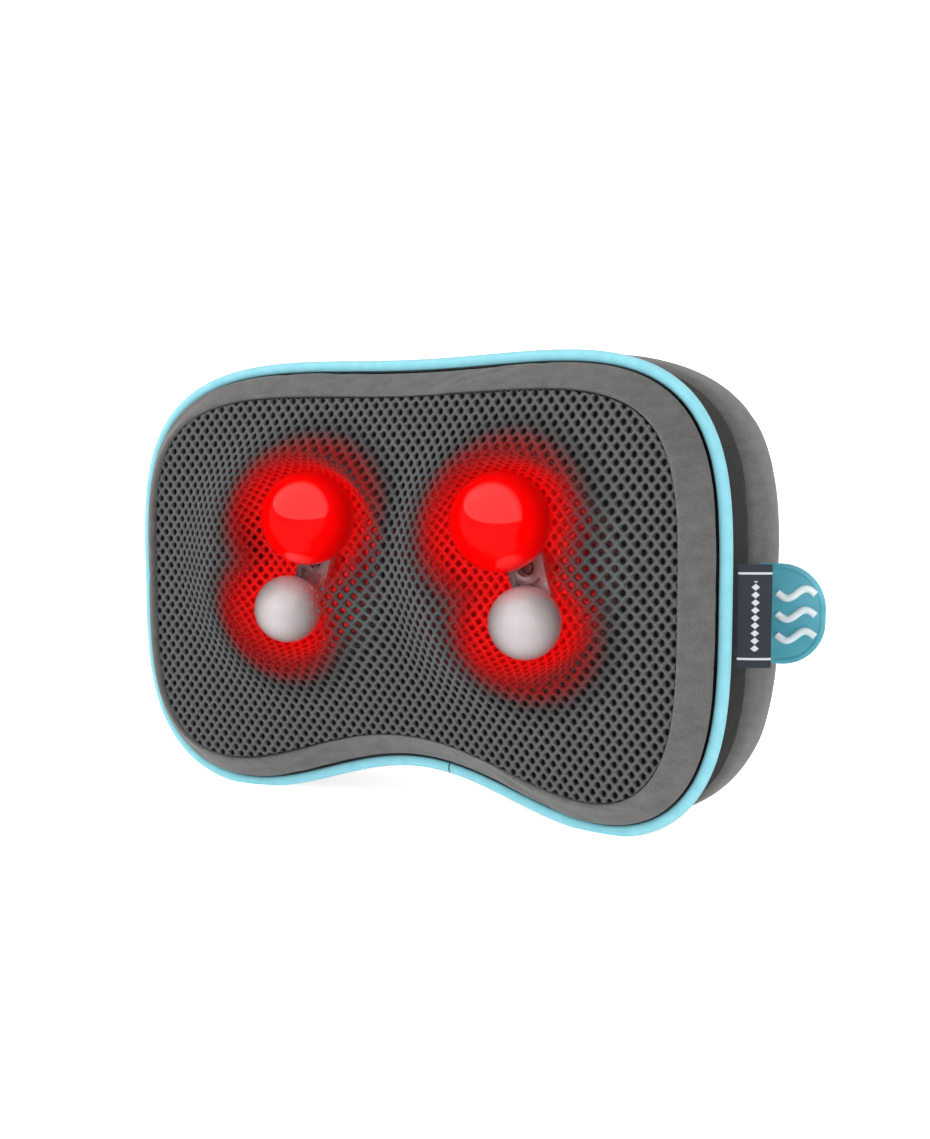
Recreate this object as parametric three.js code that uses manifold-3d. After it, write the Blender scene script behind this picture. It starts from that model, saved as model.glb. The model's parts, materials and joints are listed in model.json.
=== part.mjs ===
// A shiatsu neck massager: a bean-shaped pillow that stands on its two lower lobes.
// Inside, one motor turns two worms, each worm turns a wheel, and each wheel turns an arm
// that carries one large heated ball and one small ball round under the front mesh.
//
// Millimetres. +X is the side with the label and the tab, +Y the back, +Z up.
// The origin is the middle of the flat back panel.

import * as THREE from 'three';
import { mergeVertices } from 'three/addons/utils/BufferGeometryUtils.js';
import Module from 'manifold-3d';

const wasm = await Module();
wasm.setup();

// ---------------------------------------------------------------- driving dimensions

const HALF_WIDTH = 169.5; // of the piping's centreline
const HALF_HEIGHT = 133; // of the superellipse that the outline starts from
const SQUARENESS = 3.5; // exponent of that superellipse
const NECK_HOLLOW = { share: 0.29, reach: 92 }; // how much the underside is drawn in, and how widely
const TOP_DIP = { share: 0.145, reach: 175 }; // the same along the top

const PIPING_RADIUS = 3.2;
const PIPING_MIDDLE_Y = -83; // the piping's plane at mid-width
const END_SWEEP = 18; // how far the two ends of the front come forward
const SEAM_Y = -57; // where the gusset meets the boxing band
const REST_Z = -117.4; // the plane that the lobes stand on
const SKIN = 2.2; // thickness of the padded fabric

const BACK_INSET = 17.4; // from the piping's outline to the edge of the back panel
const BACK_THICKNESS = 2.4;

const EDGE_INSET = 17; // from the piping to the edge of the mesh panel
const EDGE_RISE = 19; // how far the border climbs over that distance
const MESH = 3; // thickness of the spacer mesh
const CROWN = 9; // doming of the mesh panel in its middle
const HEAD_TOP_Y = -133.2; // the mesh over a massage head
const HEAD_FLAT = 32; // radius of the mesh that a head holds level
const HEAD_FADE = 80; // radius where the head's bump has died away

const ROTOR_X = 63.4;
const ROTOR_Z = 11.3;
const ROTOR_TILT = THREE.MathUtils.degToRad(15.4); // of the arms at rest
const SWEPT_RADIUS = 53; // the round pocket that a head turns in

const HEATED = { radius: 25, orbit: 24, wall: 3 };
const SMALL = { radius: 18.2, orbit: -27 };
const BALL_Y = -104;
const BALL_CUT = 14; // the flat back of a ball, behind its centre
const POST_RADIUS = 3;

const ARM_FRONT_Y = -89;
const ARM_BACK_Y = -84;
const ARM_WIDTH = 20;
const ARM_RAIL = 3.5; // width of each rail of the channel
const HUB_Y = -75; // the back of the arm's hub
const COLLAR_RISE = 5.1; // of the collar that carries a heater board
const SHAFT_RADIUS = 4;
const BUSH_RADIUS = 6.5;
const BRUSH_REACH = 13; // from a shaft to its brush block
const MOTOR_SHAFT_RADIUS = 1.6;

const MODULE = 1.5;
const WHEEL_TEETH = 30;
const WHEEL_RADIUS = (MODULE * WHEEL_TEETH) / 2;
const WORM_RADIUS = 6;
const WORM_LENGTH = 18;
const WHEEL_WIDTH = 8;
const PITCH = Math.PI * MODULE;

const MOTOR = { radius: 18, length: 56, y: -45, z: ROTOR_Z - WHEEL_RADIUS - WORM_RADIUS };
const CRADLE_X = 18; // of the two ribs under the motor
const SHAFT_BUSH_X = 84;
const HOUSING = {
  width: 236,
  height: 112,
  corner: 30,
  z: 10,
  back: -20.4,
  parting: -46,
  front: -71.5,
  wall: 2.4,
};
const SCREW_PLACES = [[-105, 51], [105, 51], [-105, -31], [105, -31]];
const LEAD_HOLE = { y: -32, z: 34, radius: 5 };
const BOARD = { y: -28, x0: -33, x1: 33, z0: 7, z1: 57 };

const POD = { x: -172.2, innerX: -150, y: -77, halfDepth: 9, halfHeight: 25 };
const POD_Z = { button: 12, lamp: -2, inlet: -16 };
const BUTTON_RADIUS = 8;
const ZIP = { z: -58, length: 164, start: -68, pivotY: 3.7 };
const LABEL = { length: 15.5, height: 47, thickness: 1.2, x: 173.2, y: -96.4, z: -6.6, sweep: 25 };
const TAB = { x: 171.2, reach: 32.6, height: 48, z: -8.8, corner: 21, thickness: 2.6 };

const GAP = 0.3; // between neighbouring pieces
const AROUND = 44; // stations round the outline
const OUTLINE_SAMPLES = 240; // points that the outline's formula is sampled at
const SIDES = [-1, 1]; // the signs of X of the left and the right half

// ---------------------------------------------------------------- solids

// Turns a mesh round if its faces point inwards.
function facingOut(geometry) {
  const p = geometry.attributes.position;
  const index = geometry.index.array;
  const [a, b, c] = [new THREE.Vector3(), new THREE.Vector3(), new THREE.Vector3()];
  let volume = 0;
  for (let i = 0; i < index.length; i += 3) {
    a.fromBufferAttribute(p, index[i]);
    b.fromBufferAttribute(p, index[i + 1]);
    c.fromBufferAttribute(p, index[i + 2]);
    volume += a.dot(b.cross(c));
  }
  if (volume < 0) {
    for (let i = 0; i < index.length; i += 3) [index[i], index[i + 1]] = [index[i + 1], index[i]];
  }
  return geometry;
}

// The same geometry with positions only and its shared vertices joined.
function welded(geometry) {
  const bare = geometry.clone();
  bare.deleteAttribute('normal');
  bare.deleteAttribute('uv');
  return facingOut(mergeVertices(bare, 1e-4));
}

function solidOf(geometry) {
  const w = welded(geometry);
  const mesh = new wasm.Mesh({
    numProp: 3,
    vertProperties: new Float32Array(w.attributes.position.array),
    triVerts: new Uint32Array(w.index.array),
  });
  return new wasm.Manifold(mesh);
}

function geometryOf(solid) {
  const mesh = solid.getMesh();
  const geometry = new THREE.BufferGeometry();
  geometry.setAttribute('position', new THREE.BufferAttribute(mesh.vertProperties, 3));
  geometry.setIndex(new THREE.BufferAttribute(mesh.triVerts, 1));
  return geometry;
}

function joined(...geometries) {
  return geometryOf(geometries.map(solidOf).reduce((whole, next) => whole.add(next)));
}

function cut(geometry, ...tools) {
  return geometryOf(tools.map(solidOf).reduce((whole, tool) => whole.subtract(tool), solidOf(geometry)));
}

function common(geometry, other) {
  return geometryOf(solidOf(geometry).intersect(solidOf(other)));
}

// A closed solid over a row of loops with equally many points. A closed row runs back to
// its first loop, and an open one is capped at both ends.
function skin(loops, closed = false) {
  const count = loops[0].length;
  const points = loops.flat();
  const faces = [];
  const rows = closed ? loops.length : loops.length - 1;
  for (let i = 0; i < rows; i++) {
    const here = i * count;
    const next = ((i + 1) % loops.length) * count;
    for (let j = 0; j < count; j++) {
      const k = (j + 1) % count;
      faces.push(here + j, next + j, next + k, here + j, next + k, here + k);
    }
  }
  if (!closed) {
    const last = (loops.length - 1) * count;
    const middle = (loop) => loop.reduce((sum, p) => sum.add(p), new THREE.Vector3()).divideScalar(count);
    points.push(middle(loops[0]), middle(loops[loops.length - 1]));
    for (let j = 0; j < count; j++) {
      const k = (j + 1) % count;
      faces.push(points.length - 2, j, k, points.length - 1, last + k, last + j);
    }
  }
  const geometry = new THREE.BufferGeometry().setFromPoints(points);
  geometry.setIndex(faces);
  return facingOut(geometry);
}

// A flat outline in X and Z, from y0 to y1.
function plate(shape, y0, y1) {
  const options = { depth: y1 - y0, bevelEnabled: false, curveSegments: 5 };
  const geometry = new THREE.ExtrudeGeometry(shape, options);
  return geometry.rotateX(Math.PI / 2).translate(0, y1, 0);
}

function block(x0, x1, y0, y1, z0, z1) {
  const geometry = new THREE.BoxGeometry(x1 - x0, y1 - y0, z1 - z0);
  return geometry.translate((x0 + x1) / 2, (y0 + y1) / 2, (z0 + z1) / 2);
}

// A cylinder along Y.
function drum(radius, y0, y1, x = 0, z = 0, sides = 16) {
  return new THREE.CylinderGeometry(radius, radius, y1 - y0, sides).translate(x, (y0 + y1) / 2, z);
}

// A cylinder along X.
function rod(radius, x0, x1, y = 0, z = 0, sides = 16) {
  const geometry = new THREE.CylinderGeometry(radius, radius, x1 - x0, sides).rotateZ(Math.PI / 2);
  return geometry.translate((x0 + x1) / 2, y, z);
}

// A profile of [radius, y] points, turned about Y.
function turned(profile, sides = 16) {
  return new THREE.LatheGeometry(profile.map(([r, y]) => new THREE.Vector2(Math.max(r, 0), y)), sides);
}

function sleeve(inner, outer, y0, y1) {
  return turned([[inner, y0], [outer, y0], [outer, y1], [inner, y1], [inner, y0]]);
}

function roundedRectangle(width, height, corner, x = 0, z = 0) {
  const [left, right, bottom, top] = [x - width / 2, x + width / 2, z - height / 2, z + height / 2];
  const shape = new THREE.Shape();
  shape.absarc(right - corner, top - corner, corner, 0, Math.PI / 2);
  shape.absarc(left + corner, top - corner, corner, Math.PI / 2, Math.PI);
  shape.absarc(left + corner, bottom + corner, corner, Math.PI, 1.5 * Math.PI);
  shape.absarc(right - corner, bottom + corner, corner, 1.5 * Math.PI, 2 * Math.PI);
  shape.closePath();
  return shape;
}

// An insulated lead along a smooth route.
function lead(route, radius = 1.5) {
  const path = new THREE.CatmullRomCurve3(route.map((p) => new THREE.Vector3(...p)));
  const section = new THREE.Shape().absarc(0, 0, radius, 0, 2 * Math.PI);
  return new THREE.ExtrudeGeometry(section, { extrudePath: path, steps: route.length * 2, curveSegments: 4 });
}

// ---------------------------------------------------------------- the object

const massager = new THREE.Group();

const LOOK = {
  mesh: { color: 0x4a4d50, roughness: 0.75 },
  suede: { color: 0x6f6d6c, roughness: 0.95 },
  gusset: { color: 0x3a3b3a, roughness: 0.9 },
  piping: { color: 0x6fc4d6, roughness: 0.5 },
  foam: { color: 0x3f4042, roughness: 1 },
  label: { color: 0x2c3242, roughness: 0.85 },
  tab: { color: 0x2f8096, roughness: 0.35 },
  housing: { color: 0x26282b, roughness: 0.5 },
  heated: { color: 0xe00000, roughness: 0.15 },
  pearl: { color: 0xd8ccc9, roughness: 0.2 },
  steel: { color: 0xb8bcc0, roughness: 0.3, metalness: 1 },
  brass: { color: 0xb99a55, roughness: 0.35, metalness: 1 },
  nylon: { color: 0xe6e2d6, roughness: 0.5 },
  arm: { color: 0xb9b3b4, roughness: 0.35, metalness: 0.6 },
  board: { color: 0x1d5a38, roughness: 0.6 },
  control: { color: 0x1b1c1e, roughness: 0.35 },
  lamp: { color: 0xd02020, roughness: 0.2 },
  lead: { color: 0x202124, roughness: 0.6 },
};

function add(name, geometry, look, parent = massager) {
  const mesh = new THREE.Mesh(welded(geometry), new THREE.MeshStandardMaterial(LOOK[look]));
  mesh.name = name;
  parent.add(mesh);
  return mesh;
}

// Runs make once for each side, with its name and the sign of its X.
function bothSides(make) {
  make('left', -1);
  make('right', 1);
}

// ---------------------------------------------------------------- outline

// A point of the piping's centreline, for a turn of 0 to 1 clockwise from the top middle.
function beanPoint(turn) {
  const s = Math.sin(2 * Math.PI * turn);
  const c = Math.cos(2 * Math.PI * turn);
  const power = 2 / SQUARENESS;
  const x = HALF_WIDTH * Math.sign(s) * Math.abs(s) ** power;
  const dip = c < 0 ? NECK_HOLLOW : TOP_DIP;
  const drawnIn = 1 - dip.share * Math.exp(-((x / dip.reach) ** 2));
  return new THREE.Vector3(x, 0, HALF_HEIGHT * Math.sign(c) * Math.abs(c) ** power * drawnIn);
}

function beanStations(count) {
  const samples = Array.from({ length: OUTLINE_SAMPLES }, (_, i) => beanPoint(i / OUTLINE_SAMPLES));
  const curve = new THREE.CatmullRomCurve3(samples, true);
  curve.arcLengthDivisions = 4 * OUTLINE_SAMPLES;
  return Array.from({ length: count }, (_, i) => {
    const at = curve.getPointAt(i / count);
    const along = curve.getTangentAt(i / count);
    return { x: at.x, z: at.z, outX: -along.z, outZ: along.x };
  });
}

const STATIONS = beanStations(AROUND);

function pipingY(x) {
  return PIPING_MIDDLE_Y - END_SWEEP * (x / HALF_WIDTH) ** 2;
}

// The point at a station that lies inset inside the piping's centreline, at depth y.
function insetPoint(station, inset, y) {
  const x = station.x - inset * station.outX;
  const z = station.z - inset * station.outZ;
  return new THREE.Vector3(x, y, Math.max(z, REST_Z));
}

// A closed loop round the outline. fromPiping says that y counts from the piping's plane.
function insetLoop(inset, y, fromPiping = false) {
  return STATIONS.map((s) => insetPoint(s, inset, y + (fromPiping ? pipingY(s.x) : 0)));
}

// A band round the outline, with [inset, y] points along its outer face and its inner face.
// A point marked absolute keeps its y where the others count from the piping's plane.
function band(outer, inner, fromPiping) {
  const section = [...outer, ...[...inner].reverse()];
  const loops = STATIONS.map((station) =>
    section.map(([inset, y, absolute]) => {
      const plane = fromPiping && !absolute ? pipingY(station.x) : 0;
      return insetPoint(station, inset, plane + y);
    }),
  );
  return skin(loops, true);
}

// ---------------------------------------------------------------- front mesh surface

// How much of a head's bump is left at a point, from 1 over the head to 0 away from it.
function headShare(x, z) {
  const faded = SIDES.map((side) => {
    const reach = Math.hypot(x - side * ROTOR_X, z - ROTOR_Z);
    return THREE.MathUtils.smoothstep(reach, HEAD_FLAT, HEAD_FADE);
  });
  return 1 - faded[0] * faded[1];
}

// The front face of the mesh panel. share is 1 at the panel's edge and 0 in its middle.
function meshY(x, z, share) {
  const base = pipingY(x) - EDGE_RISE - CROWN * (1 - share ** 2);
  return THREE.MathUtils.lerp(base, HEAD_TOP_Y, headShare(x, z));
}

// A loop of the mesh panel's outline, shrunk to a share of its size, set back from its face.
function meshLoop(share, setBack, inset = EDGE_INSET + GAP) {
  return STATIONS.map((s) => {
    const edge = insetPoint(s, inset, 0);
    const [x, z] = [edge.x * share, edge.z * share];
    return new THREE.Vector3(x, meshY(x, z, share) + setBack, z);
  });
}

const PANEL_SHARES = [1, 0.88, 0.75, 0.62, 0.48, 0.32, 0.16];

function frontMeshPanel() {
  const front = PANEL_SHARES.map((share) => meshLoop(share, 0)).reverse();
  const back = PANEL_SHARES.map((share) => meshLoop(share, MESH));
  return skin([...front, ...back]);
}

// ---------------------------------------------------------------- cover

function frontBorder() {
  const outer = [[2.6, -2.7], [6.5, -9.8], [12, -15.8], [16.6, -18.8]];
  const inner = [[4.9, -1.6], [8.5, -8.4], [13.3, -13.8], [16.9, -16.2]];
  return band(outer, inner, true);
}

function piping() {
  const sides = 8;
  const section = Array.from({ length: sides }, (_, i) => {
    const angle = (2 * Math.PI * (i + 0.5)) / sides;
    return [PIPING_RADIUS * Math.cos(angle), PIPING_RADIUS * Math.sin(angle)];
  });
  return band(section, [], true);
}

function sideGusset() {
  const outer = [[1, 3.6], [0.2, SEAM_Y - 14, true], [0.6, SEAM_Y - GAP, true]];
  const inner = outer.map(([inset, y, absolute]) => [inset + SKIN, y, absolute]);
  return cut(band(outer, inner, true), podPocket());
}

const BOXING_FACE = [[0.4, SEAM_Y + GAP], [-3.1, -46], [-3.4, -28], [0.2, -13.5], [8, -4], [17, -0.4]];
const BOXING_LINING = [[2.6, SEAM_Y + GAP], [-0.9, -45.5], [-1.2, -28.7], [2.1, -14.8], [9, -6.1], [17, -2.7]];

function boxingBand() {
  return band(BOXING_FACE, BOXING_LINING, false);
}

function rearPanel() {
  const panel = skin([insetLoop(BACK_INSET, -BACK_THICKNESS), insetLoop(BACK_INSET, 0)]);
  const half = ZIP.length / 2;
  return cut(panel, block(-half, half, -4, 1, ZIP.z - 7, ZIP.z + 7));
}

function zipTape() {
  const half = ZIP.length / 2 - GAP;
  const tape = block(-half, half, -2.2, -0.6, ZIP.z - 6.7, ZIP.z + 6.7);
  const chain = block(-half + 3, half - 3, -0.8, 0.6, ZIP.z - 2, ZIP.z + 2);
  return joined(tape, chain);
}

// The slider straddles the chain, and its bridge runs along the zip.
function zipSlider() {
  const body = block(-5, 5, 0.9, 2.9, -4.2, 4.2);
  const bridge = cut(block(-3.8, 3.8, 2.7, 5.5, -1, 1), block(-1.6, 1.6, 2.8, 4.6, -2, 2));
  return joined(body, bridge).translate(ZIP.start, 0, ZIP.z);
}

// The puller's bar passes under the bridge, and its tongue lies flat along the zip.
function zipPuller() {
  const [back, front] = [ZIP.pivotY - 0.5, ZIP.pivotY + 0.5];
  const bar = block(-0.5, 0.5, back, front, -2.6, 2.6);
  const links = SIDES.map((side) => block(-0.5, 7, back, front, side * 2.1 - 0.5, side * 2.1 + 0.5));
  const tongue = plate(roundedRectangle(18, 7, 3, 15, 0), back, front);
  const eye = drum(1.6, back - 1, front + 1, 20.5, 0, 12);
  return joined(bar, ...links, cut(tongue, eye)).translate(ZIP.start, 0, ZIP.z);
}

function foamSurround() {
  const sides = [
    insetLoop(2, -20),
    insetLoop(-0.3, -30),
    insetLoop(0.1, -46),
    insetLoop(3.6, SEAM_Y + 2),
    insetLoop(4.2, 2, true),
    insetLoop(9.4, -7.4, true),
  ];
  const cap = PANEL_SHARES.map((share) => meshLoop(share, MESH + 0.5));
  const pocket = plate(
    roundedRectangle(HOUSING.width + 1, HOUSING.height + 1, HOUSING.corner, 0, HOUSING.z),
    HOUSING.front - 0.6,
    -19,
  );
  const heads = SIDES.map((side) => drum(SWEPT_RADIUS, -140, HOUSING.front, side * ROTOR_X, ROTOR_Z, 40));
  const channel = block(POD.innerX - 1, 1 - HOUSING.width / 2, POD.y - 6, -19, -24, LEAD_HOLE.z + 10);
  return cut(skin([...sides, ...cap]), pocket, ...heads, channel, podPocket());
}

function rearFoamPad() {
  return skin([
    insetLoop(2.2, -19.6),
    insetLoop(2.9, -14.5),
    insetLoop(9.6, -6.6),
    insetLoop(18, -2.8),
  ]);
}

// A folded woven loop, sewn in behind the piping and standing out to the side.
function sideLabel() {
  const { length, height, thickness, x, y, z, sweep } = LABEL;
  const flap = new THREE.BoxGeometry(length, thickness, height).translate(length / 2, 0, 0);
  return flap.rotateZ(THREE.MathUtils.degToRad(sweep)).translate(x, y, z);
}

// A soft moulded tab with round outer corners, sewn into the seam of the boxing band.
function pullTab() {
  const [bottom, top] = [TAB.z - TAB.height / 2, TAB.z + TAB.height / 2];
  const right = TAB.x + TAB.reach;
  const shape = new THREE.Shape();
  shape.moveTo(TAB.x + 0.6, top);
  shape.absarc(right - TAB.corner, top - TAB.corner, TAB.corner, Math.PI / 2, 0, true);
  shape.absarc(right - TAB.corner, bottom + TAB.corner, TAB.corner, 0, -Math.PI / 2, true);
  shape.lineTo(TAB.x + 0.6, bottom);
  shape.closePath();
  const y = SEAM_Y - 1;
  return plate(shape, y - TAB.thickness / 2, y + TAB.thickness / 2);
}

// ---------------------------------------------------------------- housing

function outerCase(y0, y1) {
  return plate(roundedRectangle(HOUSING.width, HOUSING.height, HOUSING.corner, 0, HOUSING.z), y0, y1);
}

function innerCase(y0, y1) {
  const { width, height, corner, wall, z } = HOUSING;
  return plate(roundedRectangle(width - 2 * wall, height - 2 * wall, corner - wall, 0, z), y0, y1);
}

function rearHousing() {
  const floor = HOUSING.back - HOUSING.wall;
  const tray = cut(outerCase(HOUSING.parting, HOUSING.back), innerCase(HOUSING.parting - 1, floor));
  const bosses = SCREW_PLACES.map(([x, z]) => drum(5, HOUSING.parting, floor + 1, x, z, 12));
  const seats = SIDES.map((side) => drum(9.5, -31, floor + 1, side * ROTOR_X, ROTOR_Z));
  // A rib across the motor's axis with a round seat in its front edge.
  const saddle = (x, halfWidth, seat) => {
    const rib = block(x - 1.5, x + 1.5, MOTOR.y - 0.7, floor + 1, MOTOR.z - halfWidth, MOTOR.z + halfWidth);
    return cut(rib, rod(seat, x - 3, x + 3, MOTOR.y, MOTOR.z, 20));
  };
  const cradles = SIDES.map((side) => saddle(side * CRADLE_X, 22, MOTOR.radius + 0.4));
  const pillows = SIDES.map((side) => saddle(side * SHAFT_BUSH_X, 8, 3.9));
  const standoffs = [BOARD.x0 + 4, BOARD.x1 - 4].flatMap((x) =>
    [BOARD.z0 + 4, BOARD.z1 - 4].map((z) => drum(3, BOARD.y + GAP, floor + 1, x, z, 8)),
  );
  const whole = joined(tray, ...bosses, ...seats, ...cradles, ...pillows, ...standoffs);
  const screwHoles = SCREW_PLACES.flatMap(([x, z]) => [
    drum(1.9, HOUSING.parting - 1, 0, x, z, 12),
    drum(3.6, HOUSING.back - 3.2, 0, x, z, 12),
  ]);
  const bushHoles = SIDES.map((side) => drum(6.8, -32, floor, side * ROTOR_X, ROTOR_Z));
  const side = -HOUSING.width / 2;
  const leadHole = rod(LEAD_HOLE.radius, side - 2, side + 6, LEAD_HOLE.y, LEAD_HOLE.z);
  return cut(whole, ...screwHoles, ...bushHoles, leadHole);
}

function frontHousing() {
  const ceiling = HOUSING.front + HOUSING.wall;
  const parting = HOUSING.parting - GAP;
  const lid = cut(outerCase(HOUSING.front, parting), innerCase(ceiling, parting + 1));
  const bosses = SCREW_PLACES.map(([x, z]) => drum(5, ceiling - 1, parting, x, z, 12));
  const seats = SIDES.map((side) => drum(9.5, ceiling - 1, -61, side * ROTOR_X, ROTOR_Z));
  const whole = joined(lid, ...bosses, ...seats);
  const screwHoles = SCREW_PLACES.map(([x, z]) => drum(1.9, -60, HOUSING.parting + 1, x, z, 12));
  const bushHoles = SIDES.map((side) => drum(6.8, -80, -60, side * ROTOR_X, ROTOR_Z));
  const brushHoles = SIDES.map((side) => drum(1.8, -80, -60, side * (ROTOR_X - BRUSH_REACH), ROTOR_Z, 12));
  return cut(whole, ...screwHoles, ...bushHoles, ...brushHoles);
}

// A pan-head screw along Y, with its head at the back.
function screw(shank, head, headY, tipY, x, z) {
  const thickness = 2.2;
  const points = [
    [0, tipY],
    [shank, tipY + shank],
    [shank, headY],
    [head, headY],
    [head * 0.75, headY + thickness],
    [0, headY + thickness],
  ];
  return turned(points, 10).translate(x, 0, z);
}

// ---------------------------------------------------------------- drive

function motorBody() {
  const half = MOTOR.length / 2;
  const bore = MOTOR_SHAFT_RADIUS + GAP;
  const profile = [
    [bore, -half - 2.5],
    [6.5, -half - 2.5],
    [6.5, -half],
    [MOTOR.radius - 1.5, -half],
    [MOTOR.radius, 1.5 - half],
    [MOTOR.radius, half - 1.5],
    [MOTOR.radius - 1.5, half],
    [6.5, half],
    [6.5, half + 2.5],
    [bore, half + 2.5],
    [bore, -half - 2.5],
  ];
  const can = turned(profile, 20);
  const terminals = [-4, 4].map((y) => block(20, 24, y - 1.5, y + 1.5, MOTOR.radius - 2, MOTOR.radius + 4));
  return joined(can.rotateZ(Math.PI / 2), ...terminals).translate(0, MOTOR.y, MOTOR.z);
}

// A strap over the front of the motor that snaps into the housing at its two feet.
function motorClamp() {
  const strap = new THREE.Shape().absarc(0, 0, MOTOR.radius + 2.6, Math.PI, 2 * Math.PI);
  strap.absarc(0, 0, MOTOR.radius + 0.4, 2 * Math.PI, Math.PI, true);
  strap.closePath();
  const arch = new THREE.ExtrudeGeometry(strap, { depth: 12, bevelEnabled: false, curveSegments: 10 });
  arch.rotateY(-Math.PI / 2).translate(6, 0, 0);
  const feet = SIDES.map((side) => {
    const z = side * (MOTOR.radius + 3.4);
    return block(-6, 6, -3, 0, Math.min(z - 2.8, z + 2.8), Math.max(z - 2.8, z + 2.8));
  });
  return joined(arch, ...feet).translate(0, MOTOR.y, MOTOR.z);
}

// A single-start worm. hand is 1 for a right-hand thread.
function worm(hand) {
  const perTurn = 12;
  const turns = WORM_LENGTH / PITCH + 1.5;
  const [tip, root] = [WORM_RADIUS + MODULE, WORM_RADIUS - MODULE - 0.2];
  const thread = [[-1.2, root - 0.4], [-0.45, tip], [0.45, tip], [1.2, root - 0.4]];
  const steps = Math.round(turns * perTurn);
  const sections = Array.from({ length: steps + 1 }, (_, i) => {
    const angle = Math.PI / 2 + (2 * Math.PI * (i - steps / 2)) / perTurn;
    const along = hand * PITCH * ((i - steps / 2) / perTurn);
    return thread.map(([x, r]) => new THREE.Vector3(x + along, r * Math.cos(angle), r * Math.sin(angle)));
  });
  const half = WORM_LENGTH / 2;
  const threaded = joined(skin(sections), rod(root, -half - 1, half + 1));
  const trimmed = common(threaded, rod(tip + 1, -half, half));
  return cut(trimmed, rod(MOTOR_SHAFT_RADIUS + GAP, -half - 2, half + 2, 0, 0, 12));
}

// A wheel whose teeth lean to follow the worm's thread, with a gap between teeth at the bottom.
function wormWheel(hand) {
  const [tip, root] = [WHEEL_RADIUS + MODULE * 0.9, WHEEL_RADIUS - MODULE * 1.2];
  const shape = new THREE.Shape();
  const tooth = 360 / WHEEL_TEETH;
  const flank = [[0.13, root], [0.36, tip], [0.64, tip], [0.87, root]];
  for (let i = 0; i < WHEEL_TEETH; i++) {
    for (const [share, radius] of flank) {
      const angle = THREE.MathUtils.degToRad((i + share) * tooth - 90);
      shape.lineTo(radius * Math.cos(angle), radius * Math.sin(angle));
    }
  }
  const rim = new THREE.ExtrudeGeometry(shape, { depth: WHEEL_WIDTH, bevelEnabled: false });
  rim.rotateX(Math.PI / 2).translate(0, WHEEL_WIDTH / 2, 0);
  const lean = (hand * PITCH) / (2 * Math.PI * WORM_RADIUS) / WHEEL_RADIUS;
  const p = rim.attributes.position;
  for (let i = 0; i < p.count; i++) {
    const [x, y, z] = [p.getX(i), p.getY(i), p.getZ(i)];
    const turn = lean * y;
    p.setXYZ(i, x * Math.cos(turn) + z * Math.sin(turn), y, z * Math.cos(turn) - x * Math.sin(turn));
  }
  return cut(joined(rim, drum(8, -7, 7)), drum(SHAFT_RADIUS + GAP, -9, 9));
}

// A bush with a collar at its y1 end.
function collaredBush(inner, y0, y1) {
  const collar = BUSH_RADIUS + 2;
  const step = y1 - 1.5;
  return turned([
    [inner, y0],
    [BUSH_RADIUS, y0],
    [BUSH_RADIUS, step],
    [collar, step],
    [collar, y1],
    [inner, y1],
    [inner, y0],
  ]);
}

function outputShaft() {
  const shaft = drum(SHAFT_RADIUS, HUB_Y - 8, HOUSING.back - HOUSING.wall - 1.2);
  return cut(shaft, drum(2.4, HUB_Y - 9, HUB_Y + 5, 0, 0, 12));
}

// ---------------------------------------------------------------- massage heads

// A round arc of a ball's profile, from a start to an end distance behind its centre.
function ballArc(radius, from, to, count) {
  return Array.from({ length: count }, (_, i) => {
    const a0 = Math.asin(from / radius);
    const a1 = Math.asin(to / radius);
    const angle = a0 + ((a1 - a0) * i) / (count - 1);
    return [radius * Math.cos(angle), radius * Math.sin(angle)];
  });
}

// A hollow shell with a hub tube, open at the back round the heater.
function heatedBall() {
  const inner = HEATED.radius - HEATED.wall;
  const bore = POST_RADIUS + GAP + 0.1;
  const outside = ballArc(HEATED.radius, -HEATED.radius, BALL_CUT, 8);
  const inside = ballArc(inner, BALL_CUT, -Math.sqrt(inner ** 2 - 6 ** 2), 5);
  const hub = [[6, 12], [bore, 12], [bore, -16], [0, -16]];
  const profile = [[0, -HEATED.radius], ...outside.slice(1), ...inside, ...hub];
  return turned(profile, 18);
}

function smallBall() {
  const bore = POST_RADIUS + GAP + 0.1;
  const outside = ballArc(SMALL.radius, -SMALL.radius, BALL_CUT, 8);
  return turned([[0, -SMALL.radius], ...outside.slice(1), [bore, BALL_CUT], [bore, -12], [0, -12]]);
}

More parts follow.
